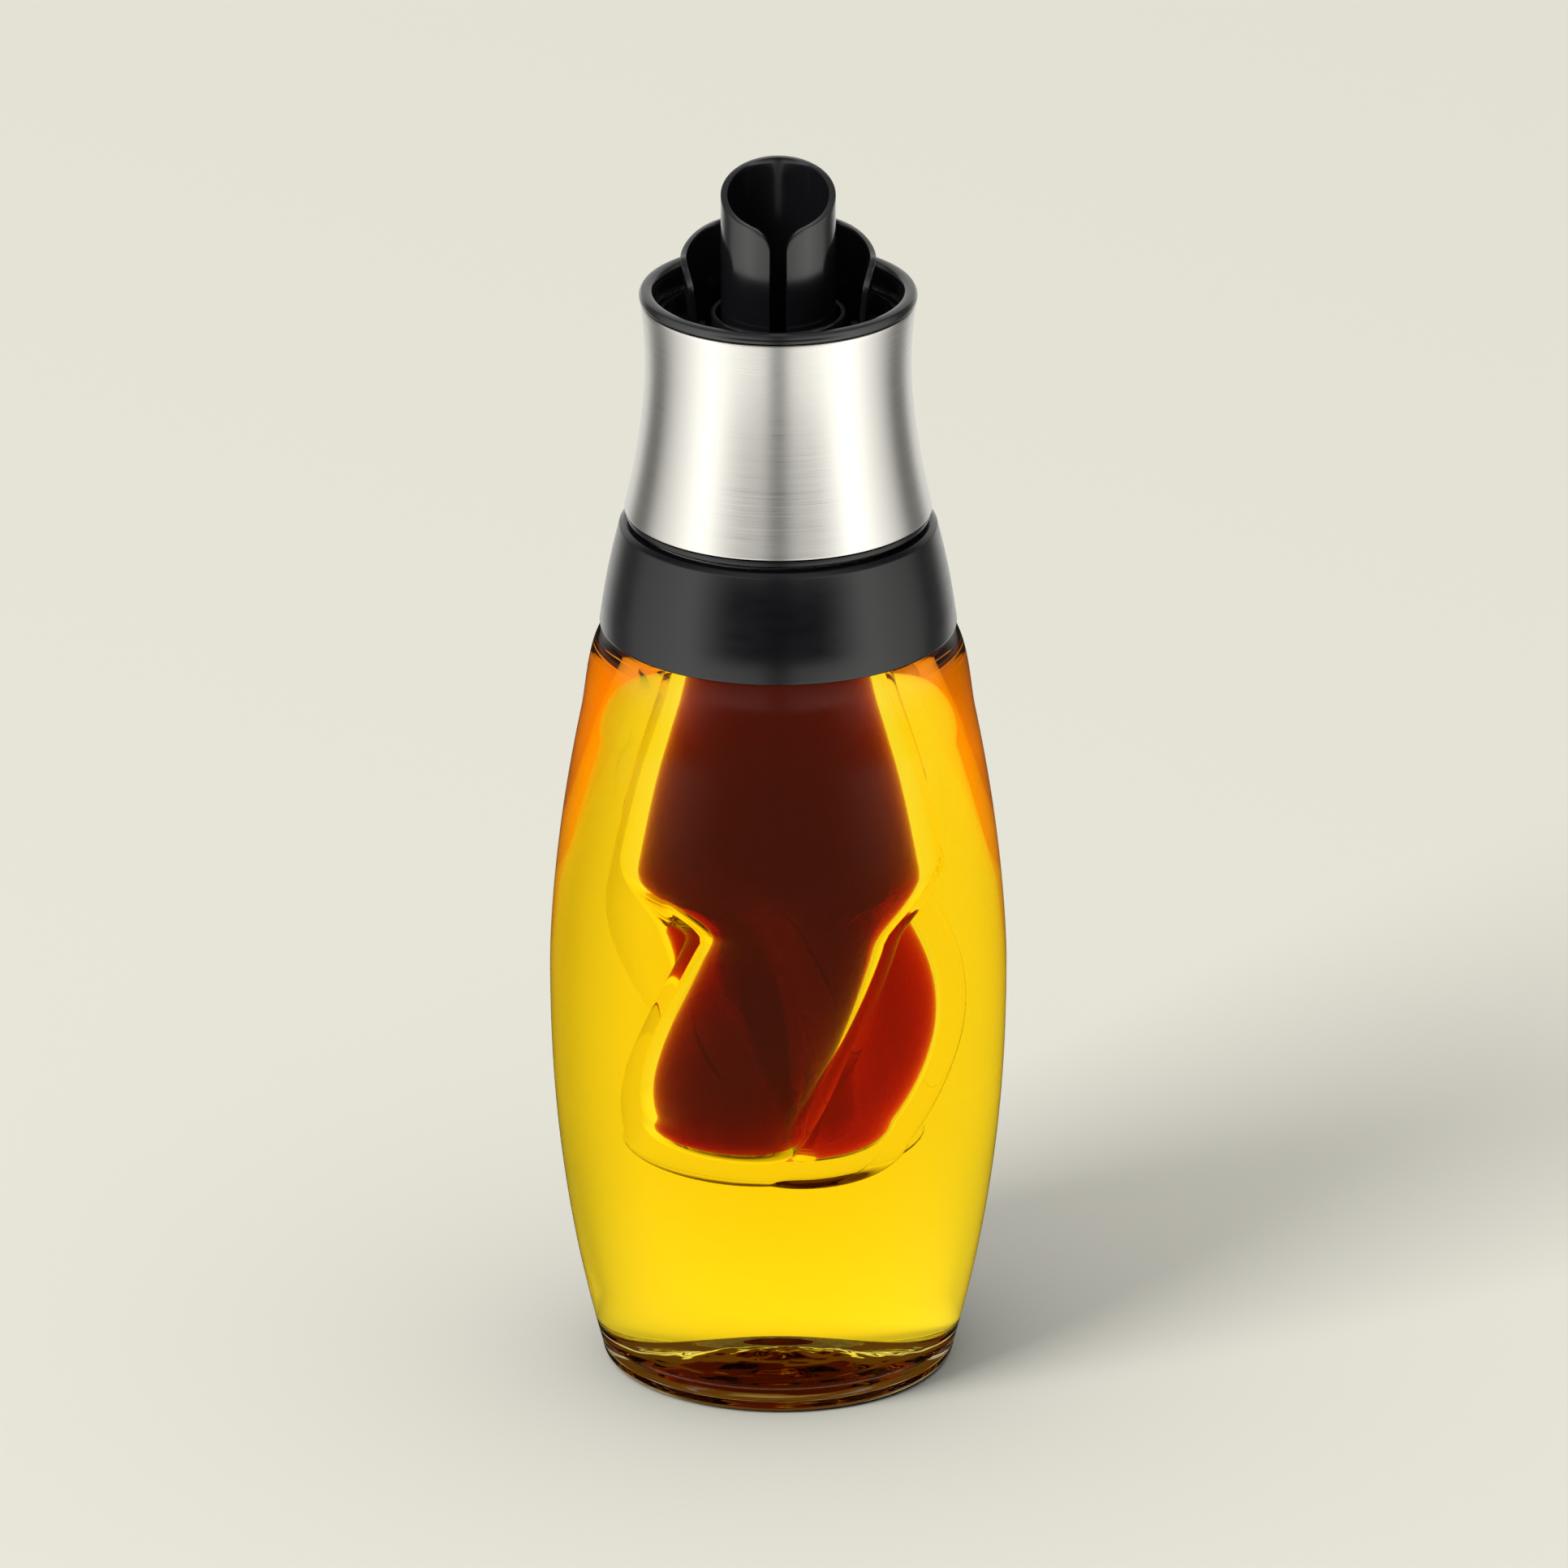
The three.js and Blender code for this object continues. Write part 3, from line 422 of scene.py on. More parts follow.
def plastic(name, colour, roughness, speckle=0.06, grain_mm=0.002, stretch=(1, 1, 1), ior=1.55):
    """Moulded plastic: a faint grain in the surface and slight changes of gloss."""
    material, tree, shader = new_material(name)
    patches = stretched_noise(tree, 160, stretch, detail=4)
    darker = tuple(c * 0.75 for c in colour)
    tree.links.new(colour_between(tree, patches, darker, colour), shader.inputs["Base Color"])
    gloss = remap(tree, patches, roughness - speckle, roughness + speckle)
    tree.links.new(gloss, shader.inputs["Roughness"])
    grain = stretched_noise(tree, 2600, stretch, detail=2)
    tree.links.new(bump(tree, grain, grain_mm), shader.inputs["Normal"])
    shader.inputs["IOR"].default_value = ior
    return material


def brushed_steel(name):
    """Steel brushed round the axis: fine level lines, with a highlight drawn out up and down."""
    material, tree, shader = new_material(name)
    lines = stretched_noise(tree, 60, (1, 1, 90), detail=5, roughness=0.65)
    colour = colour_between(tree, lines, (0.60, 0.59, 0.56), (0.76, 0.75, 0.71))
    tree.links.new(colour, shader.inputs["Base Color"])
    tree.links.new(remap(tree, lines, 0.26, 0.38), shader.inputs["Roughness"])
    tree.links.new(bump(tree, lines, 0.004), shader.inputs["Normal"])
    shader.inputs["Metallic"].default_value = 1
    shader.inputs["Anisotropic"].default_value = 0.9
    shader.inputs["Anisotropic Rotation"].default_value = 0.25
    tangent = add_node(tree, "ShaderNodeTangent", direction_type="RADIAL", axis="Z")
    tree.links.new(tangent.outputs[0], shader.inputs["Tangent"])
    return material


def plain_steel(name):
    """Turned steel, for the small pieces inside."""
    material, tree, shader = new_material(name)
    lines = stretched_noise(tree, 300, (1, 1, 6), detail=3)
    colour = colour_between(tree, lines, (0.42, 0.42, 0.43), (0.58, 0.58, 0.58))
    tree.links.new(colour, shader.inputs["Base Color"])
    tree.links.new(remap(tree, lines, 0.2, 0.35), shader.inputs["Roughness"])
    shader.inputs["Metallic"].default_value = 1
    return material


GLASS_IOR = 1.52
OIL_IOR = 1.47
VINEGAR_IOR = 1.35

bottle_glass = glass("bottle_glass", GLASS_IOR)
bottle_glass_wet = glass("bottle_glass_against_oil", GLASS_IOR / OIL_IOR)
vessel_glass = glass("vessel_glass_in_oil", GLASS_IOR / OIL_IOR)
vessel_glass_wet = glass("vessel_glass_against_vinegar", GLASS_IOR / VINEGAR_IOR, ripple_mm=0)
oil_liquid = liquid("oil", (0.999, 0.915, 0.0), 80)
# the vinegar's surface carries a faint painted red glow
vinegar_liquid = liquid("vinegar", (0.84, 0.3, 0.25), 900, painted_glow=(0.045, 0.008, 0.013))
satin_black = plastic(
    "satin_black", (0.006, 0.006, 0.008), 0.2, speckle=0.03, stretch=(1, 1, 3), ior=1.45
)
gloss_black = plastic("gloss_black", (0.010, 0.010, 0.012), 0.16, speckle=0.03, grain_mm=0.001)
inner_black = plastic("inner_plastic", (0.024, 0.024, 0.027), 0.5)
silicone = plastic("silicone", (0.57, 0.59, 0.56), 0.6)
acetal = plastic("acetal", (0.76, 0.75, 0.70), 0.5)
sleeve_steel = brushed_steel("brushed_steel")
small_steel = plain_steel("plain_steel")

SLOT_MATERIALS = {
    "black_satin": satin_black,
    "black_gloss": gloss_black,
    "inner_plastic": inner_black,
    "silicone": silicone,
    "acetal": acetal,
    "brushed_steel": sleeve_steel,
    "plain_steel": small_steel,
}


# ---------------------------------------------------------------- bottle and oil

def bottle_r(z):
    """Outer radius of the bottle's wall."""
    if z < BELLY_Z:
        share = (BELLY_Z - z) / (BELLY_Z - HEEL_Z)
        return BELLY_R - (BELLY_R - HEEL_R) * share ** BELLY_CURVE
    share = (z - BELLY_Z) / (SHOULDER_Z - BELLY_Z)
    return BELLY_R - (BELLY_R - SHOULDER_R) * share ** UPPER_CURVE


def shoulder(inset, steps):
    """The curve from the wall to the foot of the neck, moved in by the inset."""
    start_r = bottle_r(SHOULDER_START_Z)
    return bezier(
        (start_r - inset, SHOULDER_START_Z),
        (start_r - inset - SHOULDER_LEAN, SHOULDER_START_Z + SHOULDER_RISE),
        (start_r - inset * 1.3 - SHOULDER_LEAN, SHOULDER_TOP_Z - inset - 0.2),
        (SHOULDER_TOP_R - inset, SHOULDER_TOP_Z - inset),
        steps,
    )


def dome_z(r, edge_r, edge_z, top_z):
    """Height of a low dome with a soft foot."""
    share = (1 + math.cos(math.pi * min(r / edge_r, 1))) / 2
    return edge_z + (top_z - edge_z) * share


def inner_bottle(inset):
    """The inside of the glass from the bottom up to the shoulder, moved in by the inset."""
    corner_z = FLOOR_Z + FLOOR_ROUND

    def radius_at(z):
        return bottle_r(z) - GLASS_WALL - inset

    return [
        *[(r, dome_z(r, FLOOR_R, FLOOR_Z, FLOOR_TOP_Z) + inset) for r in range(FLOOR_R - 1)],
        *arc(radius_at(corner_z) - FLOOR_ROUND, corner_z, FLOOR_ROUND,
             FLOOR_ROUND - inset, -90, -8, 10),
        *wall(radius_at, corner_z, SHOULDER_START_Z - 1, 48),
        *shoulder(GLASS_WALL + inset, 16),
    ]


def punt_ridges(r, angle):
    """The wavy rings that moulding leaves in the hollow under the bottle."""
    waver = 0.9 * math.sin(3 * angle + 1) + 0.5 * math.sin(5 * angle) + 0.25 * math.sin(11 * angle)
    ridges = sum(
        height * math.sin(2 * math.pi * (r + way * waver) / spacing)
        for height, spacing, way in PUNT_RIDGES
    )
    flat_middle_r = 3
    return ridges * smoothstep(1 - r / PUNT_R) * smoothstep(r / flat_middle_r)


def build_bottle():
    """The glass bottle. Its inner face is wet up to the oil's level, and dry over it."""
    punt_steps = 2 * PUNT_R
    punt = [
        (r, dome_z(r, PUNT_R, PUNT_EDGE_Z, PUNT_Z))
        for r in (PUNT_R * i / punt_steps for i in range(punt_steps))
    ]
    outside = [
        *punt,
        (PUNT_R, PUNT_EDGE_Z),
        *bezier((PUNT_R + 0.5, PUNT_EDGE_Z * 0.9), (PUNT_R + 1.5, PUNT_EDGE_Z * 0.3),
                (PUNT_R + 2, 0), (PUNT_R + FOOT_WIDTH, 0), 5),
        *arc(HEEL_R - HEEL_Z, HEEL_Z, HEEL_Z, HEEL_Z, -90, 0, 8),
        *wall(bottle_r, HEEL_Z + 1, SHOULDER_START_Z - 1, 60),
        *shoulder(0, 20),
        (NECK_R + 0.6, SHOULDER_TOP_Z + 0.1),
        (NECK_R, SHOULDER_TOP_Z + 0.7),
        (NECK_R, SHOULDER_TOP_Z + 4.5),
        *arc(NECK_R, BEAD_Z, BEAD_DEPTH, 1, -90, 90, 6),
        *arc(NECK_R - LIP_ROUND, NECK_TOP_Z - LIP_ROUND, LIP_ROUND, LIP_ROUND, 0, 90, 4),
    ]
    lip = arc(NECK_BORE_R + LIP_ROUND, NECK_TOP_Z - LIP_ROUND, LIP_ROUND, LIP_ROUND, 90, 180, 4)
    inside = [
        *lip,
        (NECK_BORE_R, OIL_LEVEL_Z + 0.1),
        (NECK_BORE_R, OIL_LEVEL_Z - 0.1),
        (NECK_BORE_R, SHOULDER_TOP_Z - GLASS_WALL + 1),
        *reversed(inner_bottle(0)),
    ]
    wet_from = len(outside) + len(lip)
    mesh = turned(outside + inside, material_at=lambda level: 1 if level >= wet_from else 0)
    for v in mesh.verts:
        r = math.hypot(v.co.x, v.co.y)
        if r < PUNT_R and v.co.z < dome_z(r, PUNT_R, PUNT_EDGE_Z, PUNT_Z) + 0.1:
            v.co.z += punt_ridges(r, math.atan2(v.co.y, v.co.x))
    made = finish_mesh("glass_bottle", mesh, [bottle_glass, bottle_glass_wet], smooth_angle=60)
    return place(made, "bottle", "bottle_glass", "outer_bottle")


def build_oil():
    """The oil, a hair inside the glass. The vessel hangs in it."""
    outline = [
        *inner_bottle(LIQUID_GAP),
        (NECK_BORE_R - LIQUID_GAP, SHOULDER_TOP_Z - GLASS_WALL + 1),
        (NECK_BORE_R - LIQUID_GAP, OIL_LEVEL_Z + 0.3),
        (NECK_BORE_R - 0.4, OIL_LEVEL_Z + 0.05),
        (NECK_BORE_R - MENISCUS, OIL_LEVEL_Z),
        (0, OIL_LEVEL_Z),
    ]
    made = finish_mesh("oil", turned(outline), [oil_liquid], smooth_angle=60)
    return place(made, "bottle", "bottle_glass")


# ---------------------------------------------------------------- vessel and vinegar

def smoothstep(x):
    x = min(max(x, 0.0), 1.0)
    return x * x * (3 - 2 * x)


def spline_value(points, x):
    """Catmull-Rom curve through (x, value) points."""
    last = len(points) - 2
    i = max(0, min(last, sum(1 for p in points if p[0] <= x) - 1))
    p0, p1 = points[max(i - 1, 0)], points[i]
    p2, p3 = points[i + 1], points[min(i + 2, len(points) - 1)]
    width = p2[0] - p1[0]
    t = min(max((x - p1[0]) / width, 0.0), 1.0)
    m1 = (p2[1] - p0[1]) / (p2[0] - p0[0]) * width
    m2 = (p3[1] - p1[1]) / (p3[0] - p1[0]) * width
    t2, t3 = t * t, t * t * t
    return ((2 * t3 - 3 * t2 + 1) * p1[1] + (t3 - 2 * t2 + t) * m1
            + (-2 * t3 + 3 * t2) * p2[1] + (t3 - t2) * m2)


def vessel_r(height):
    """Outer radius over the lobes. Below the first point of the shape the bottom is an ellipse."""
    first_height, first_r = VESSEL_SHAPE[1]
    if height < first_height:
        drop = 1 - height / first_height
        return first_r * math.sqrt(max(0.0, 1 - drop ** BOTTOM_POWER))
    return spline_value(VESSEL_SHAPE, height)


def lobe_r(turn, centre, reach):
    """Distance from the axis to the far side of one round lobe, at an angle from its middle."""
    across = centre * math.sin(turn)
    if abs(across) >= reach:
        return 0.0
    return centre * math.cos(turn) + math.sqrt(reach ** 2 - across ** 2)


def soft_max(a, b, width):
    """The larger of two values, with a round change-over as wide as the width."""
    overlap = max(width - abs(a - b), 0) / width
    return max(a, b) + overlap ** 2 * width / 4


def vessel_loop(radius, z, inset=0.0):
    """A loop round the vessel's lobes at one height, moved in by the inset."""
    depth = smoothstep((CREASE_START_Z - z) / CREASE_FADE)
    front = LOBE_TURN + (min(z, CREASE_START_Z) - LOBE_Z) * LOBE_TWIST
    rounding = (CREASE_ROUND_INSIDE if inset else CREASE_ROUND) * depth + 0.001
    loop = []
    for i in range(VESSEL_AROUND):
        around = 2 * math.pi * i / VESSEL_AROUND
        distances = sorted(
            lobe_r(around - math.radians(direction), radius * share * depth,
                   radius * (1 - share * depth) - inset - (extra * depth if inset else 0))
            for direction, share, extra in LOBES
        )
        loop.append(on_circle(soft_max(distances[-1], distances[-2], rounding), around + front, z))
    return loop


def vessel_heights(low, high, steps):
    """Heights that crowd together towards the round bottom."""
    return [low + (high - low) * (i / steps) ** 1.5 for i in range(1, steps + 1)]


def hollow_loops(floor, inset):
    """Loops round the vessel's hollow from its bottom up, over a floor of the given height."""
    return [
        vessel_loop(
            vessel_r(h), VESSEL_BOTTOM_Z + floor + h * (1 - floor / VESSEL_NECK_HEIGHT), inset
        )
        for h in vessel_heights(0.4, VESSEL_NECK_HEIGHT, VESSEL_LEVELS)
    ]


def build_vessel():
    """The blown vessel. Its inner face is wet up to the vinegar's level, and dry over it."""
    lip_z = VESSEL_TOP_Z - VESSEL_LIP_HEIGHT
    outside = [
        vessel_loop(vessel_r(h), VESSEL_BOTTOM_Z + h)
        for h in vessel_heights(0, VESSEL_NECK_HEIGHT, VESSEL_LEVELS)
    ]
    round_r = VESSEL_LIP_HEIGHT / 2
    lip = [
        (VESSEL_NECK_R, lip_z - 0.6), (VESSEL_NECK_R + 0.3, lip_z - 0.1),
        (VESSEL_LIP_R - round_r, lip_z),
        *arc(VESSEL_LIP_R - round_r, lip_z + round_r, round_r, round_r, -90, 90, 6),
    ]
    outside += [vessel_loop(r, z) for r, z in lip]
    bore = VESSEL_NECK_R - VESSEL_WALL
    dry = [vessel_loop(bore + 0.5, VESSEL_TOP_Z), vessel_loop(bore, VESSEL_TOP_Z - 0.5)]
    dry.append(vessel_loop(bore, VINEGAR_LEVEL_Z))
    wet = list(reversed(hollow_loops(VESSEL_FLOOR, VESSEL_WALL)))
    wet_from = len(outside) + len(dry) - 1
    mesh = lofted(outside + dry + wet, material_at=lambda level: 1 if level >= wet_from else 0)
    made = finish_mesh("twisted_vessel", mesh, [vessel_glass, vessel_glass_wet], smooth_angle=60)
    return place(made, "vessel_unit", "vessel_glass", "inner_vessel")


def build_vinegar():
    """The vinegar, a hair inside the vessel."""
    inset = VESSEL_WALL + LIQUID_GAP
    loops = hollow_loops(VESSEL_FLOOR + LIQUID_GAP, inset)
    loops.append(vessel_loop(VESSEL_NECK_R - inset, VINEGAR_LEVEL_Z))
    made = finish_mesh("vinegar", lofted(loops), [vinegar_liquid], smooth_angle=60)
    return place(made, "vessel_unit", "vessel_glass")


# ---------------------------------------------------------------- turned pieces

def build_turned(node, body, slot, edge=0.2):
    """A fine copy of a turned CAD piece, with its sharp edges rounded."""
    outline = softened(cad_outline(node), edge)
    made = finish_mesh(node + "_piece", turned(outline), [SLOT_MATERIALS[slot]], 60)
    return place(made, body, slot, node)


def build_refined(node, body, slot):
    """A copy of a CAD piece with its flat faces joined up and smooth shading."""
    mesh = bmesh.new()
    mesh.from_mesh(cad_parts[node].data)
    bmesh.ops.scale(mesh, vec=(1 / MM,) * 3, verts=mesh.verts)
    bmesh.ops.remove_doubles(mesh, verts=mesh.verts, dist=0.001)
    bmesh.ops.dissolve_limit(mesh, angle_limit=math.radians(1), verts=mesh.verts, edges=mesh.edges)
    made = finish_mesh(node + "_piece", mesh, [SLOT_MATERIALS[slot]], smooth_angle=30)
    return place(made, body, slot, node)


def build_sleeve():
    """The steel sleeve's smooth waisted wall, with rolled edges."""

    def outer_r(z):
        if z < WAIST_Z:
            share = (WAIST_Z - z) / (WAIST_Z - sleeve_low.z)
            return WAIST_R + (sleeve_high.x - WAIST_R) * share ** SLEEVE_LOWER_CURVE
        share = (z - WAIST_Z) / (sleeve_high.z - WAIST_Z)
        return WAIST_R + (SLEEVE_TOP_R - WAIST_R) * share ** SLEEVE_UPPER_CURVE

    def inner_r(z):
        return outer_r(z) - SLEEVE_WALL

    outline = [
        *wall(outer_r, sleeve_low.z, sleeve_high.z, 40),
        *wall(inner_r, sleeve_high.z, sleeve_low.z, 20),
    ]
    mesh = turned(softened(outline, 0.25))
    made = finish_mesh("brushed_sleeve", mesh, [sleeve_steel], 60)
    return place(made, "collar", "brushed_steel", "steel_sleeve")


# ---------------------------------------------------------------- spouts

def shell(name, columns, open_count, join_row, thickness, edge):
    """A thin black wall over a closed set of columns of points. The first open_count columns
    have no wall above join_row. Its rim is rounded by the edge radius."""
    mesh = bmesh.new()
    verts = []
    for i, column in enumerate(columns):
        keep = join_row + 1 if i < open_count else len(column)
        verts.append([mesh.verts.new(p) for p in column[:keep]])
    count = len(columns)
    for i in range(count):
        a, b = verts[i], verts[(i + 1) % count]
        for j in range(min(len(a), len(b)) - 1):
            mesh.faces.new((a[j], b[j], b[j + 1], a[j + 1]))
    sharp = 50
    made = finish_mesh(name, mesh, [gloss_black], smooth_angle=sharp)
    solid = made.modifiers.new("thickness", "SOLIDIFY")
    solid.thickness = thickness * MM
    solid.offset = 0
    rounding = made.modifiers.new("rounding", "BEVEL")
    rounding.width = edge * MM
    rounding.segments = 3
    rounding.limit_method = "ANGLE"
    rounding.angle_limit = math.radians(sharp)
    apply_modifiers(made)
    made.data.shade_smooth()
    made.data.set_sharp_from_angle(angle=math.radians(sharp))
    return made


def spout_columns(angles, radius_at, top_at, base_z, join_z, low_rows, high_rows):
    """Columns of points up a spout's wall: level rows to join_z, then rows up to its rim."""
    columns = []
    for angle in angles:
        top = max(top_at(angle), join_z + 0.2)
        heights = [base_z + (join_z - base_z) * i / low_rows for i in range(low_rows)]
        heights += [join_z + (top - join_z) * i / high_rows for i in range(high_rows + 1)]
        columns.append([on_circle(radius_at(z), angle, z) for z in heights])
    return columns


def crowded(start, stop, steps, strength):
    """Angles from start to stop that lie closer together near both ends."""
    angles = []
    for i in range(steps + 1):
        t = i / steps
        share = t - math.sin(2 * math.pi * t) / (2 * math.pi) * strength
        angles.append(start + (stop - start) * share)
    return angles


FRONT = -math.pi / 2


def build_vinegar_spout():
    """The inner spout: a round tube with a slanted mouth and a slot down its front."""
    middle_r = SPOUT_R - SPOUT_WALL / 2
    front_z = vinegar_spout_high.z - 2 * SPOUT_R * SPOUT_SLANT
    corner_z = front_z - SLOT_CORNER_R + 0.7
    slot_angle = math.asin(SLOT_HALF_WIDTH / middle_r)

    def top_at(angle):
        x = abs(middle_r * math.cos(angle))
        y = middle_r * math.sin(angle)
        mouth = vinegar_spout_high.z - (SPOUT_R - y) * SPOUT_SLANT
        if y > 0:
            return mouth
        into = min(max((x - SLOT_HALF_WIDTH) / SLOT_CORNER_R, 0), 1)
        flare = corner_z + SLOT_CORNER_R * math.sqrt(1 - (1 - into) ** 2)
        blend = smoothstep((into - 0.5) / 0.5)
        return min(mouth, flare + (mouth - flare) * blend)

    def straight_r(_):
        return middle_r

    slot_angles = [FRONT + slot_angle * i / 3 for i in range(-2, 3)]
    wall_angles = crowded(FRONT + slot_angle, FRONT + 2 * math.pi - slot_angle, 120, 0.85)
    low_rows = 8
    columns = spout_columns(
        slot_angles + wall_angles, straight_r, top_at,
        vinegar_spout_low.z, SLOT_BOTTOM_Z, low_rows, 24,
    )
    made = shell(
        "vinegar_spout_piece", columns, len(slot_angles), low_rows, SPOUT_WALL, SPOUT_RIM_ROUND
    )
    return place(made, "spouts", "black_gloss", "vinegar_spout")


def build_oil_spout():
    """The outer spout: a tube that opens into a flared trough round the back."""
    top_z = oil_spout_high.z
    side_z = top_z - TROUGH_SIDE_DROP
    half_wall = TROUGH_WALL / 2

    def radius_at(z):
        share = min(max((z - TROUGH_BASE_Z) / (top_z - TROUGH_BASE_Z), 0), 1)
        return TROUGH_R - half_wall + (TROUGH_LIP_R - TROUGH_R) * share ** 1.6

    def top_at(angle):
        y = TROUGH_R * math.sin(angle)
        into = min(max((y - TROUGH_EDGE_Y) / -TROUGH_EDGE_Y, 0), 1)
        side = side_z - TROUGH_CORNER_DROP * (1 - math.sqrt(1 - (1 - into) ** 2))
        return side + (top_z - side_z) * smoothstep(max(y, 0) / TROUGH_R)

    edge_angle = math.asin(TROUGH_EDGE_Y / TROUGH_R)
    front_span = math.pi + 2 * edge_angle
    front_steps = 40
    front_angles = [
        FRONT + front_span * (i / front_steps - 0.5) for i in range(1, front_steps)
    ]
    back_angles = crowded(edge_angle, math.pi - edge_angle, 110, 0.8)
    low_rows = 6
    columns = spout_columns(
        front_angles + back_angles, radius_at, top_at,
        oil_spout_low.z, TROUGH_BASE_Z, low_rows, 22,
    )
    made = shell(
        "oil_spout_piece", columns, len(front_angles), low_rows, TROUGH_WALL, TROUGH_RIM_ROUND
    )
    return place(made, "spouts", "black_gloss", "oil_spout")


# ---------------------------------------------------------------- the whole pourer

def build_pourer():
    build_bottle()
    build_oil()
    build_vessel()
    build_vinegar()
    build_sleeve()
    build_turned("carrier_gasket", "vessel_unit", "silicone")
    build_turned("vessel_grommet", "vessel_unit", "silicone")
    build_turned("base_ring", "head", "black_satin", edge=0.5)
    build_turned("neck_cap", "head", "inner_plastic", edge=0.3)
    build_turned("cap_seal", "head", "silicone")
    build_turned("vinegar_seal", "head", "silicone", edge=0.1)
    build_turned("slip_washer", "head", "acetal", edge=0.1)
    build_turned("retaining_ring", "head", "plain_steel", edge=0.1)
    build_turned("rim_ring", "collar", "black_gloss", edge=0.3)
    build_turned("step_ring", "collar", "black_satin", edge=0.3)
    build_turned("drip_ring", "spouts", "black_gloss", edge=0.3)
    build_refined("vessel_carrier", "vessel_unit", "inner_plastic")
    build_refined("duct_block", "head", "black_gloss")
    build_refined("collar_liner", "collar", "black_gloss")
    build_refined("spout_carrier", "spouts", "black_gloss")
    for side in ("left", "right"):
        build_refined("guide_post_" + side, "head", "plain_steel")
        build_refined("cam_pin_" + side, "spouts", "plain_steel")
    build_refined("vinegar_pipe_o_ring", "head", "silicone")
    build_refined("oil_pipe_o_ring", "head", "silicone")
    build_vinegar_spout()
    build_oil_spout()


# ---------------------------------------------------------------- studio

PAPER = (0.799, 0.782, 0.686)  # the pale floor, as it looks where the light is full
BACKLIGHT = 1.3  # painted brightness: how much brighter the floor's colour is for rays that come through the glass
FLOOR_HALF = 6
PAINTED_FLOOR_GLOW = 0.4  # painted glow: emission on the floor round the bottle's foot, seen only through the glass, which lightens the bottle's shadow there
GLOW_NEAR = 0.06  # from here, measured from the axis, that painted glow fades
GLOW_FAR = 0.16
ROOM = (0.11, 0.05, 0.02)  # the dim room over the paper, which is seen only through the glass
OVERHEAD_LIGHT = 1.96  # strength that lights the floor fully, without the key light

KEY_SHARE = 0.36  # share of the floor's light that the key light gives
KEY_WIDTH = 3.4
KEY_HEIGHT = 3.6
KEY_DISTANCE = 8
KEY_POWER = 410
KEY_AZIMUTH = math.radians(42)  # round from the left towards the front
KEY_ELEVATION = math.radians(38)

VIEW_ELEVATION = math.radians(21.5)
VIEW_DISTANCE = 3.4
VIEW_AIM_HEIGHT = 0.485  # share of the pourer's height
LENS_MM = 447

# Strength of the softboxes round the pourer, by degrees from the front.
SOFTBOX_STOPS = (
    (-180, 0.9), (-150, 0.9), (-132, 0.2), (-118, 0.2), (-104, 0.8), (-62, 1.9), (-40, 1.55),
    (-12, 1.2), (-3, 0.4), (3, 0.4), (12, 1.2), (34, 1.6), (62, 2.0), (100, 0.9),
    (116, 0.2), (132, 0.2), (150, 0.9), (180, 0.9),
)
SOFTBOX_PEAK = 3.0  # the ramp holds each strength as a share of this
SOFTBOX_COLOUR = (1.0, 0.99, 0.95)

# Heights in the studio are the upward parts of directions: -1 straight down, 0 level, 1 straight up.
SOFTBOX_DIM_FROM, SOFTBOX_DIM_TO = 0.35, 0.75
SOFTBOX_TOP_SHARE = 0.35
GLASS_DARK_BELOW, GLASS_FULL_ABOVE = -0.15, 0.1
GLASS_LOW_SHARE = 0.02
BAND_HEIGHT = 0.03  # middle of the dark level band in front, which the black ring mirrors
BAND_SOLID, BAND_END = 0.12, 0.28
BAND_SIDE_FROM, BAND_SIDE_TO = math.radians(25), math.radians(62)
BAND_SHARE = 0.04
OVERHEAD_FROM, OVERHEAD_FULL = 0.6, 0.8
ROOM_FROM, ROOM_FULL = 0.04, 0.2


def build_floor():
    """Pale paper. It is painted brighter where it is seen through the glass, and a painted glow
    makes it brighter still near the foot.
    """
    material, tree, shader = new_material("studio_floor")
    shader.inputs["Roughness"].default_value = 1
    shader.inputs["Specular IOR Level"].default_value = 0
    through = add_node(tree, "ShaderNodeLightPath").outputs["Is Transmission Ray"]
    # painted brightness: the floor's colour is lighter for rays seen through the glass
    lit = tuple(min(c * BACKLIGHT, 1.0) for c in PAPER)
    tree.links.new(colour_between(tree, through, PAPER, lit), shader.inputs["Base Color"])
    # painted glow: the floor emits round the foot, for rays seen through the glass only
    position = add_node(tree, "ShaderNodeNewGeometry").outputs["Position"]
    from_axis = add_node(tree, "ShaderNodeVectorMath", {0: position}, operation="LENGTH")
    near = remap(tree, from_axis.outputs["Value"], PAINTED_FLOOR_GLOW, 0.0, GLOW_NEAR, GLOW_FAR)
    glow = maths(tree, "MULTIPLY", through, near)
    shader.inputs["Emission Color"].default_value = (*PAPER, 1)
    tree.links.new(glow, shader.inputs["Emission Strength"])
    mesh = bmesh.new()
    half = FLOOR_HALF / MM
    corners = [(-half, -half, 0), (half, -half, 0), (half, half, 0), (-half, half, 0)]
    mesh.faces.new([mesh.verts.new(c) for c in corners])
    floor = finish_mesh("studio_floor", mesh, [material])
    floor.visible_glossy = False


def softbox_ramp(tree, azimuth):
    """The softboxes' strength by azimuth, as a share of the peak."""
    across = maths(tree, "MULTIPLY_ADD", azimuth, 0.5 / math.pi, 0.5)
    ramp = add_node(tree, "ShaderNodeValToRGB", {"Fac": across})
    elements = ramp.color_ramp.elements
    for degrees, _ in SOFTBOX_STOPS[1:-1]:
        elements.new((degrees + 180) / 360)
    in_order = sorted(elements, key=lambda element: element.position)
    for element, (degrees, strength) in zip(in_order, SOFTBOX_STOPS):
        share = strength / SOFTBOX_PEAK
        element.position = (degrees + 180) / 360
        element.color = (share, share, share, 1)
    return ramp.outputs["Color"]


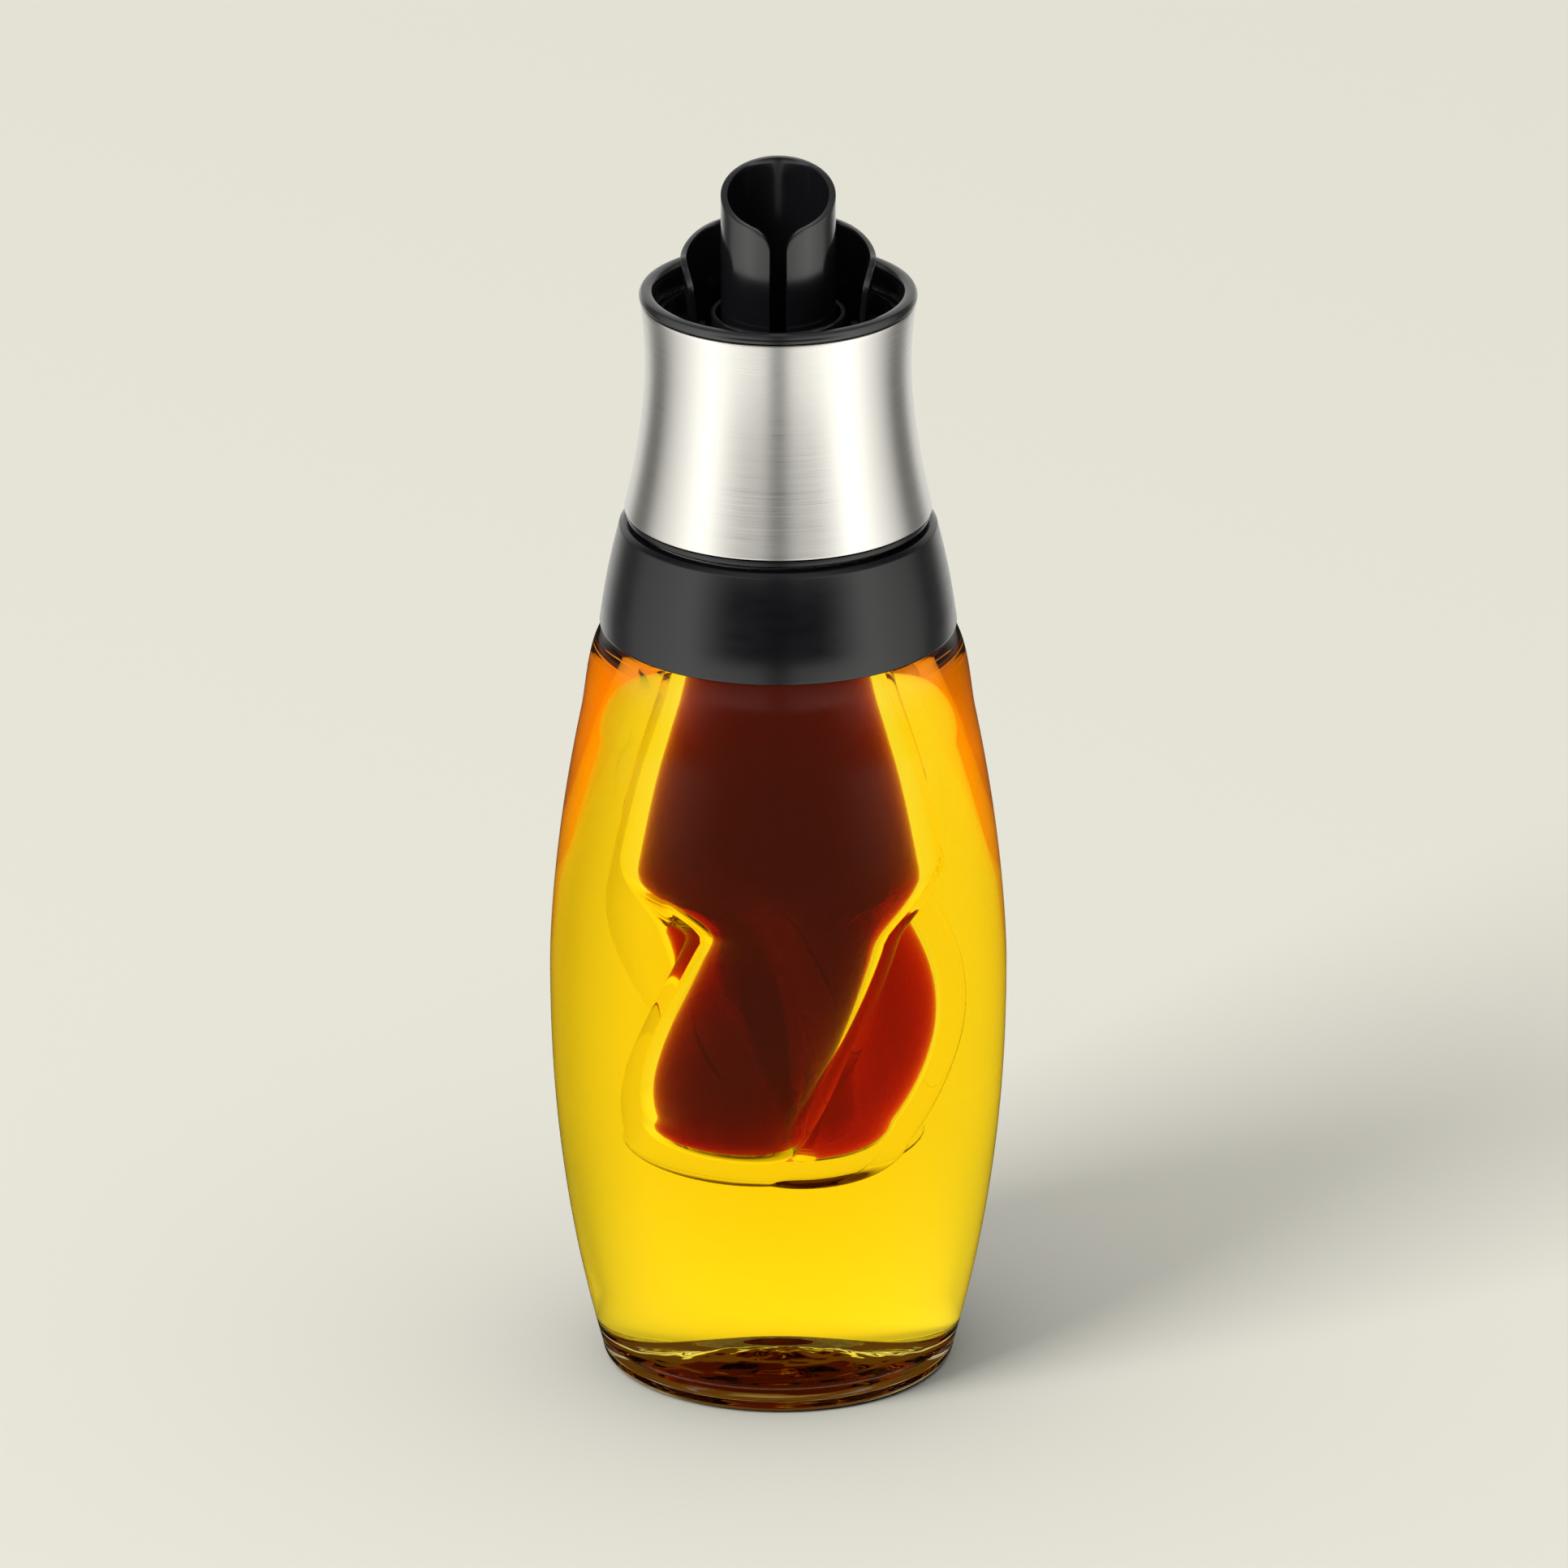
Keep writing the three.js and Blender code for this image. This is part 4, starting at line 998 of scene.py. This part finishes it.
def softbox_strength(tree, azimuth, height, mirrored_in_glass):
    """How bright the softboxes are in each direction.

    They dim towards the top. Glass mirrors none of them from below, so the oil stays clear, and
    a level band in front is dark, so the black ring stays dark.
    """
    by_height = remap(
        tree, height, 1.0, SOFTBOX_TOP_SHARE, SOFTBOX_DIM_FROM, SOFTBOX_DIM_TO
    )
    over_floor = remap(
        tree, height, GLASS_LOW_SHARE, 1.0, GLASS_DARK_BELOW, GLASS_FULL_ABOVE
    )
    low_in_glass = maths(tree, "MULTIPLY", mirrored_in_glass, inverse(tree, over_floor))
    aside = maths(tree, "ABSOLUTE", azimuth)
    beside = remap(tree, aside, BAND_SHARE, 1.0, BAND_SIDE_FROM, BAND_SIDE_TO, "SMOOTHSTEP")
    off_band = maths(tree, "ABSOLUTE", maths(tree, "SUBTRACT", height, BAND_HEIGHT))
    level = remap(tree, off_band, 1.0, 0.0, BAND_SOLID, BAND_END)
    in_band = maths(tree, "MULTIPLY", level, inverse(tree, beside))
    strength = maths(tree, "MULTIPLY", by_height, inverse(tree, low_in_glass))
    strength = maths(tree, "MULTIPLY", strength, inverse(tree, in_band))
    strength = maths(tree, "MULTIPLY", strength, softbox_ramp(tree, azimuth))
    return maths(tree, "MULTIPLY", strength, SOFTBOX_PEAK)


def background(tree, colour, strength=1.0):
    made = add_node(tree, "ShaderNodeBackground", {"Color": colour, "Strength": strength})
    return made.outputs[0]


def mixed(tree, factor, first, second):
    """The first shader where the factor is 0, and the second where it is 1."""
    return add_node(tree, "ShaderNodeMixShader", {0: factor, 1: first, 2: second}).outputs[0]


def build_world():
    """The studio round the pourer, made for each kind of ray.

    The camera sees plain paper. Shiny surfaces mirror softboxes. Through the glass one sees lit
    paper, with a dim brown room over it. All other light is soft and comes from overhead.
    """
    world = bpy.data.worlds.new("studio")
    bpy.context.scene.world = world
    world.use_nodes = True
    tree = world.node_tree
    tree.nodes.clear()
    direction = add_node(tree, "ShaderNodeTexCoord").outputs["Generated"]
    x, y, height = add_node(tree, "ShaderNodeSeparateXYZ", {0: direction}).outputs
    azimuth = maths(tree, "ARCTAN2", x, maths(tree, "MULTIPLY", y, -1.0))
    path = add_node(tree, "ShaderNodeLightPath").outputs

    strength = softbox_strength(tree, azimuth, height, path["Is Singular Ray"])
    softboxes = background(tree, (*SOFTBOX_COLOUR, 1), strength)
    overhead = remap(
        tree, height, 0.0, OVERHEAD_LIGHT * (1 - KEY_SHARE), OVERHEAD_FROM, OVERHEAD_FULL
    )
    soft_light = background(tree, (1, 1, 1, 1), overhead)
    paper = background(tree, (*PAPER, 1))
    lit = tuple(c * BACKLIGHT for c in PAPER)
    above_paper = remap(tree, height, 0.0, 1.0, ROOM_FROM, ROOM_FULL)
    beyond = background(tree, colour_between(tree, above_paper, lit, ROOM))

    seen = mixed(tree, path["Is Camera Ray"], soft_light, paper)
    seen = mixed(tree, path["Is Glossy Ray"], seen, softboxes)
    seen = mixed(tree, path["Is Transmission Ray"], seen, beyond)
    output = add_node(tree, "ShaderNodeOutputWorld")
    tree.links.new(seen, output.inputs["Surface"])


def aim(made, target):
    direction = Vector(target) - made.location
    made.rotation_euler = direction.to_track_quat("-Z", "Y").to_euler()


def build_key_light():
    """A large softbox at the front left, which throws the soft shadow to the back right."""
    light = bpy.data.lights.new("key_softbox", "AREA")
    light.shape = "RECTANGLE"
    light.size = KEY_WIDTH
    light.size_y = KEY_HEIGHT
    light.energy = KEY_POWER
    made = bpy.data.objects.new("key_softbox", light)
    bpy.context.scene.collection.objects.link(made)
    made.location = (
        -KEY_DISTANCE * math.cos(KEY_ELEVATION) * math.cos(KEY_AZIMUTH),
        -KEY_DISTANCE * math.cos(KEY_ELEVATION) * math.sin(KEY_AZIMUTH),
        KEY_DISTANCE * math.sin(KEY_ELEVATION),
    )
    aim(made, (0, 0, 0))
    made.visible_camera = False
    made.visible_glossy = False
    made.visible_transmission = False


def build_camera():
    """A long lens at the front, a little above the pourer."""
    target = Vector((0.001, 0, VIEW_AIM_HEIGHT * (cad_high.z - cad_low.z)))
    camera = bpy.data.cameras.new("camera")
    camera.sensor_width = 36
    camera.lens = LENS_MM
    camera.clip_end = 20
    made = bpy.data.objects.new("camera", camera)
    bpy.context.scene.collection.objects.link(made)
    back = Vector((0, -math.cos(VIEW_ELEVATION), math.sin(VIEW_ELEVATION)))
    made.location = target + back * VIEW_DISTANCE
    aim(made, target)
    bpy.context.scene.camera = made


def set_scene():
    """Enough bounces for light to pass both glasses and both liquids and come out again."""
    scene = bpy.context.scene
    scene.view_settings.view_transform = "Standard"
    scene.cycles.max_bounces = 32
    scene.cycles.transmission_bounces = 32
    scene.cycles.glossy_bounces = 16
    scene.cycles.caustics_reflective = False
    scene.cycles.caustics_refractive = False


build_pourer()
build_floor()
build_world()
build_key_light()
build_camera()
set_scene()
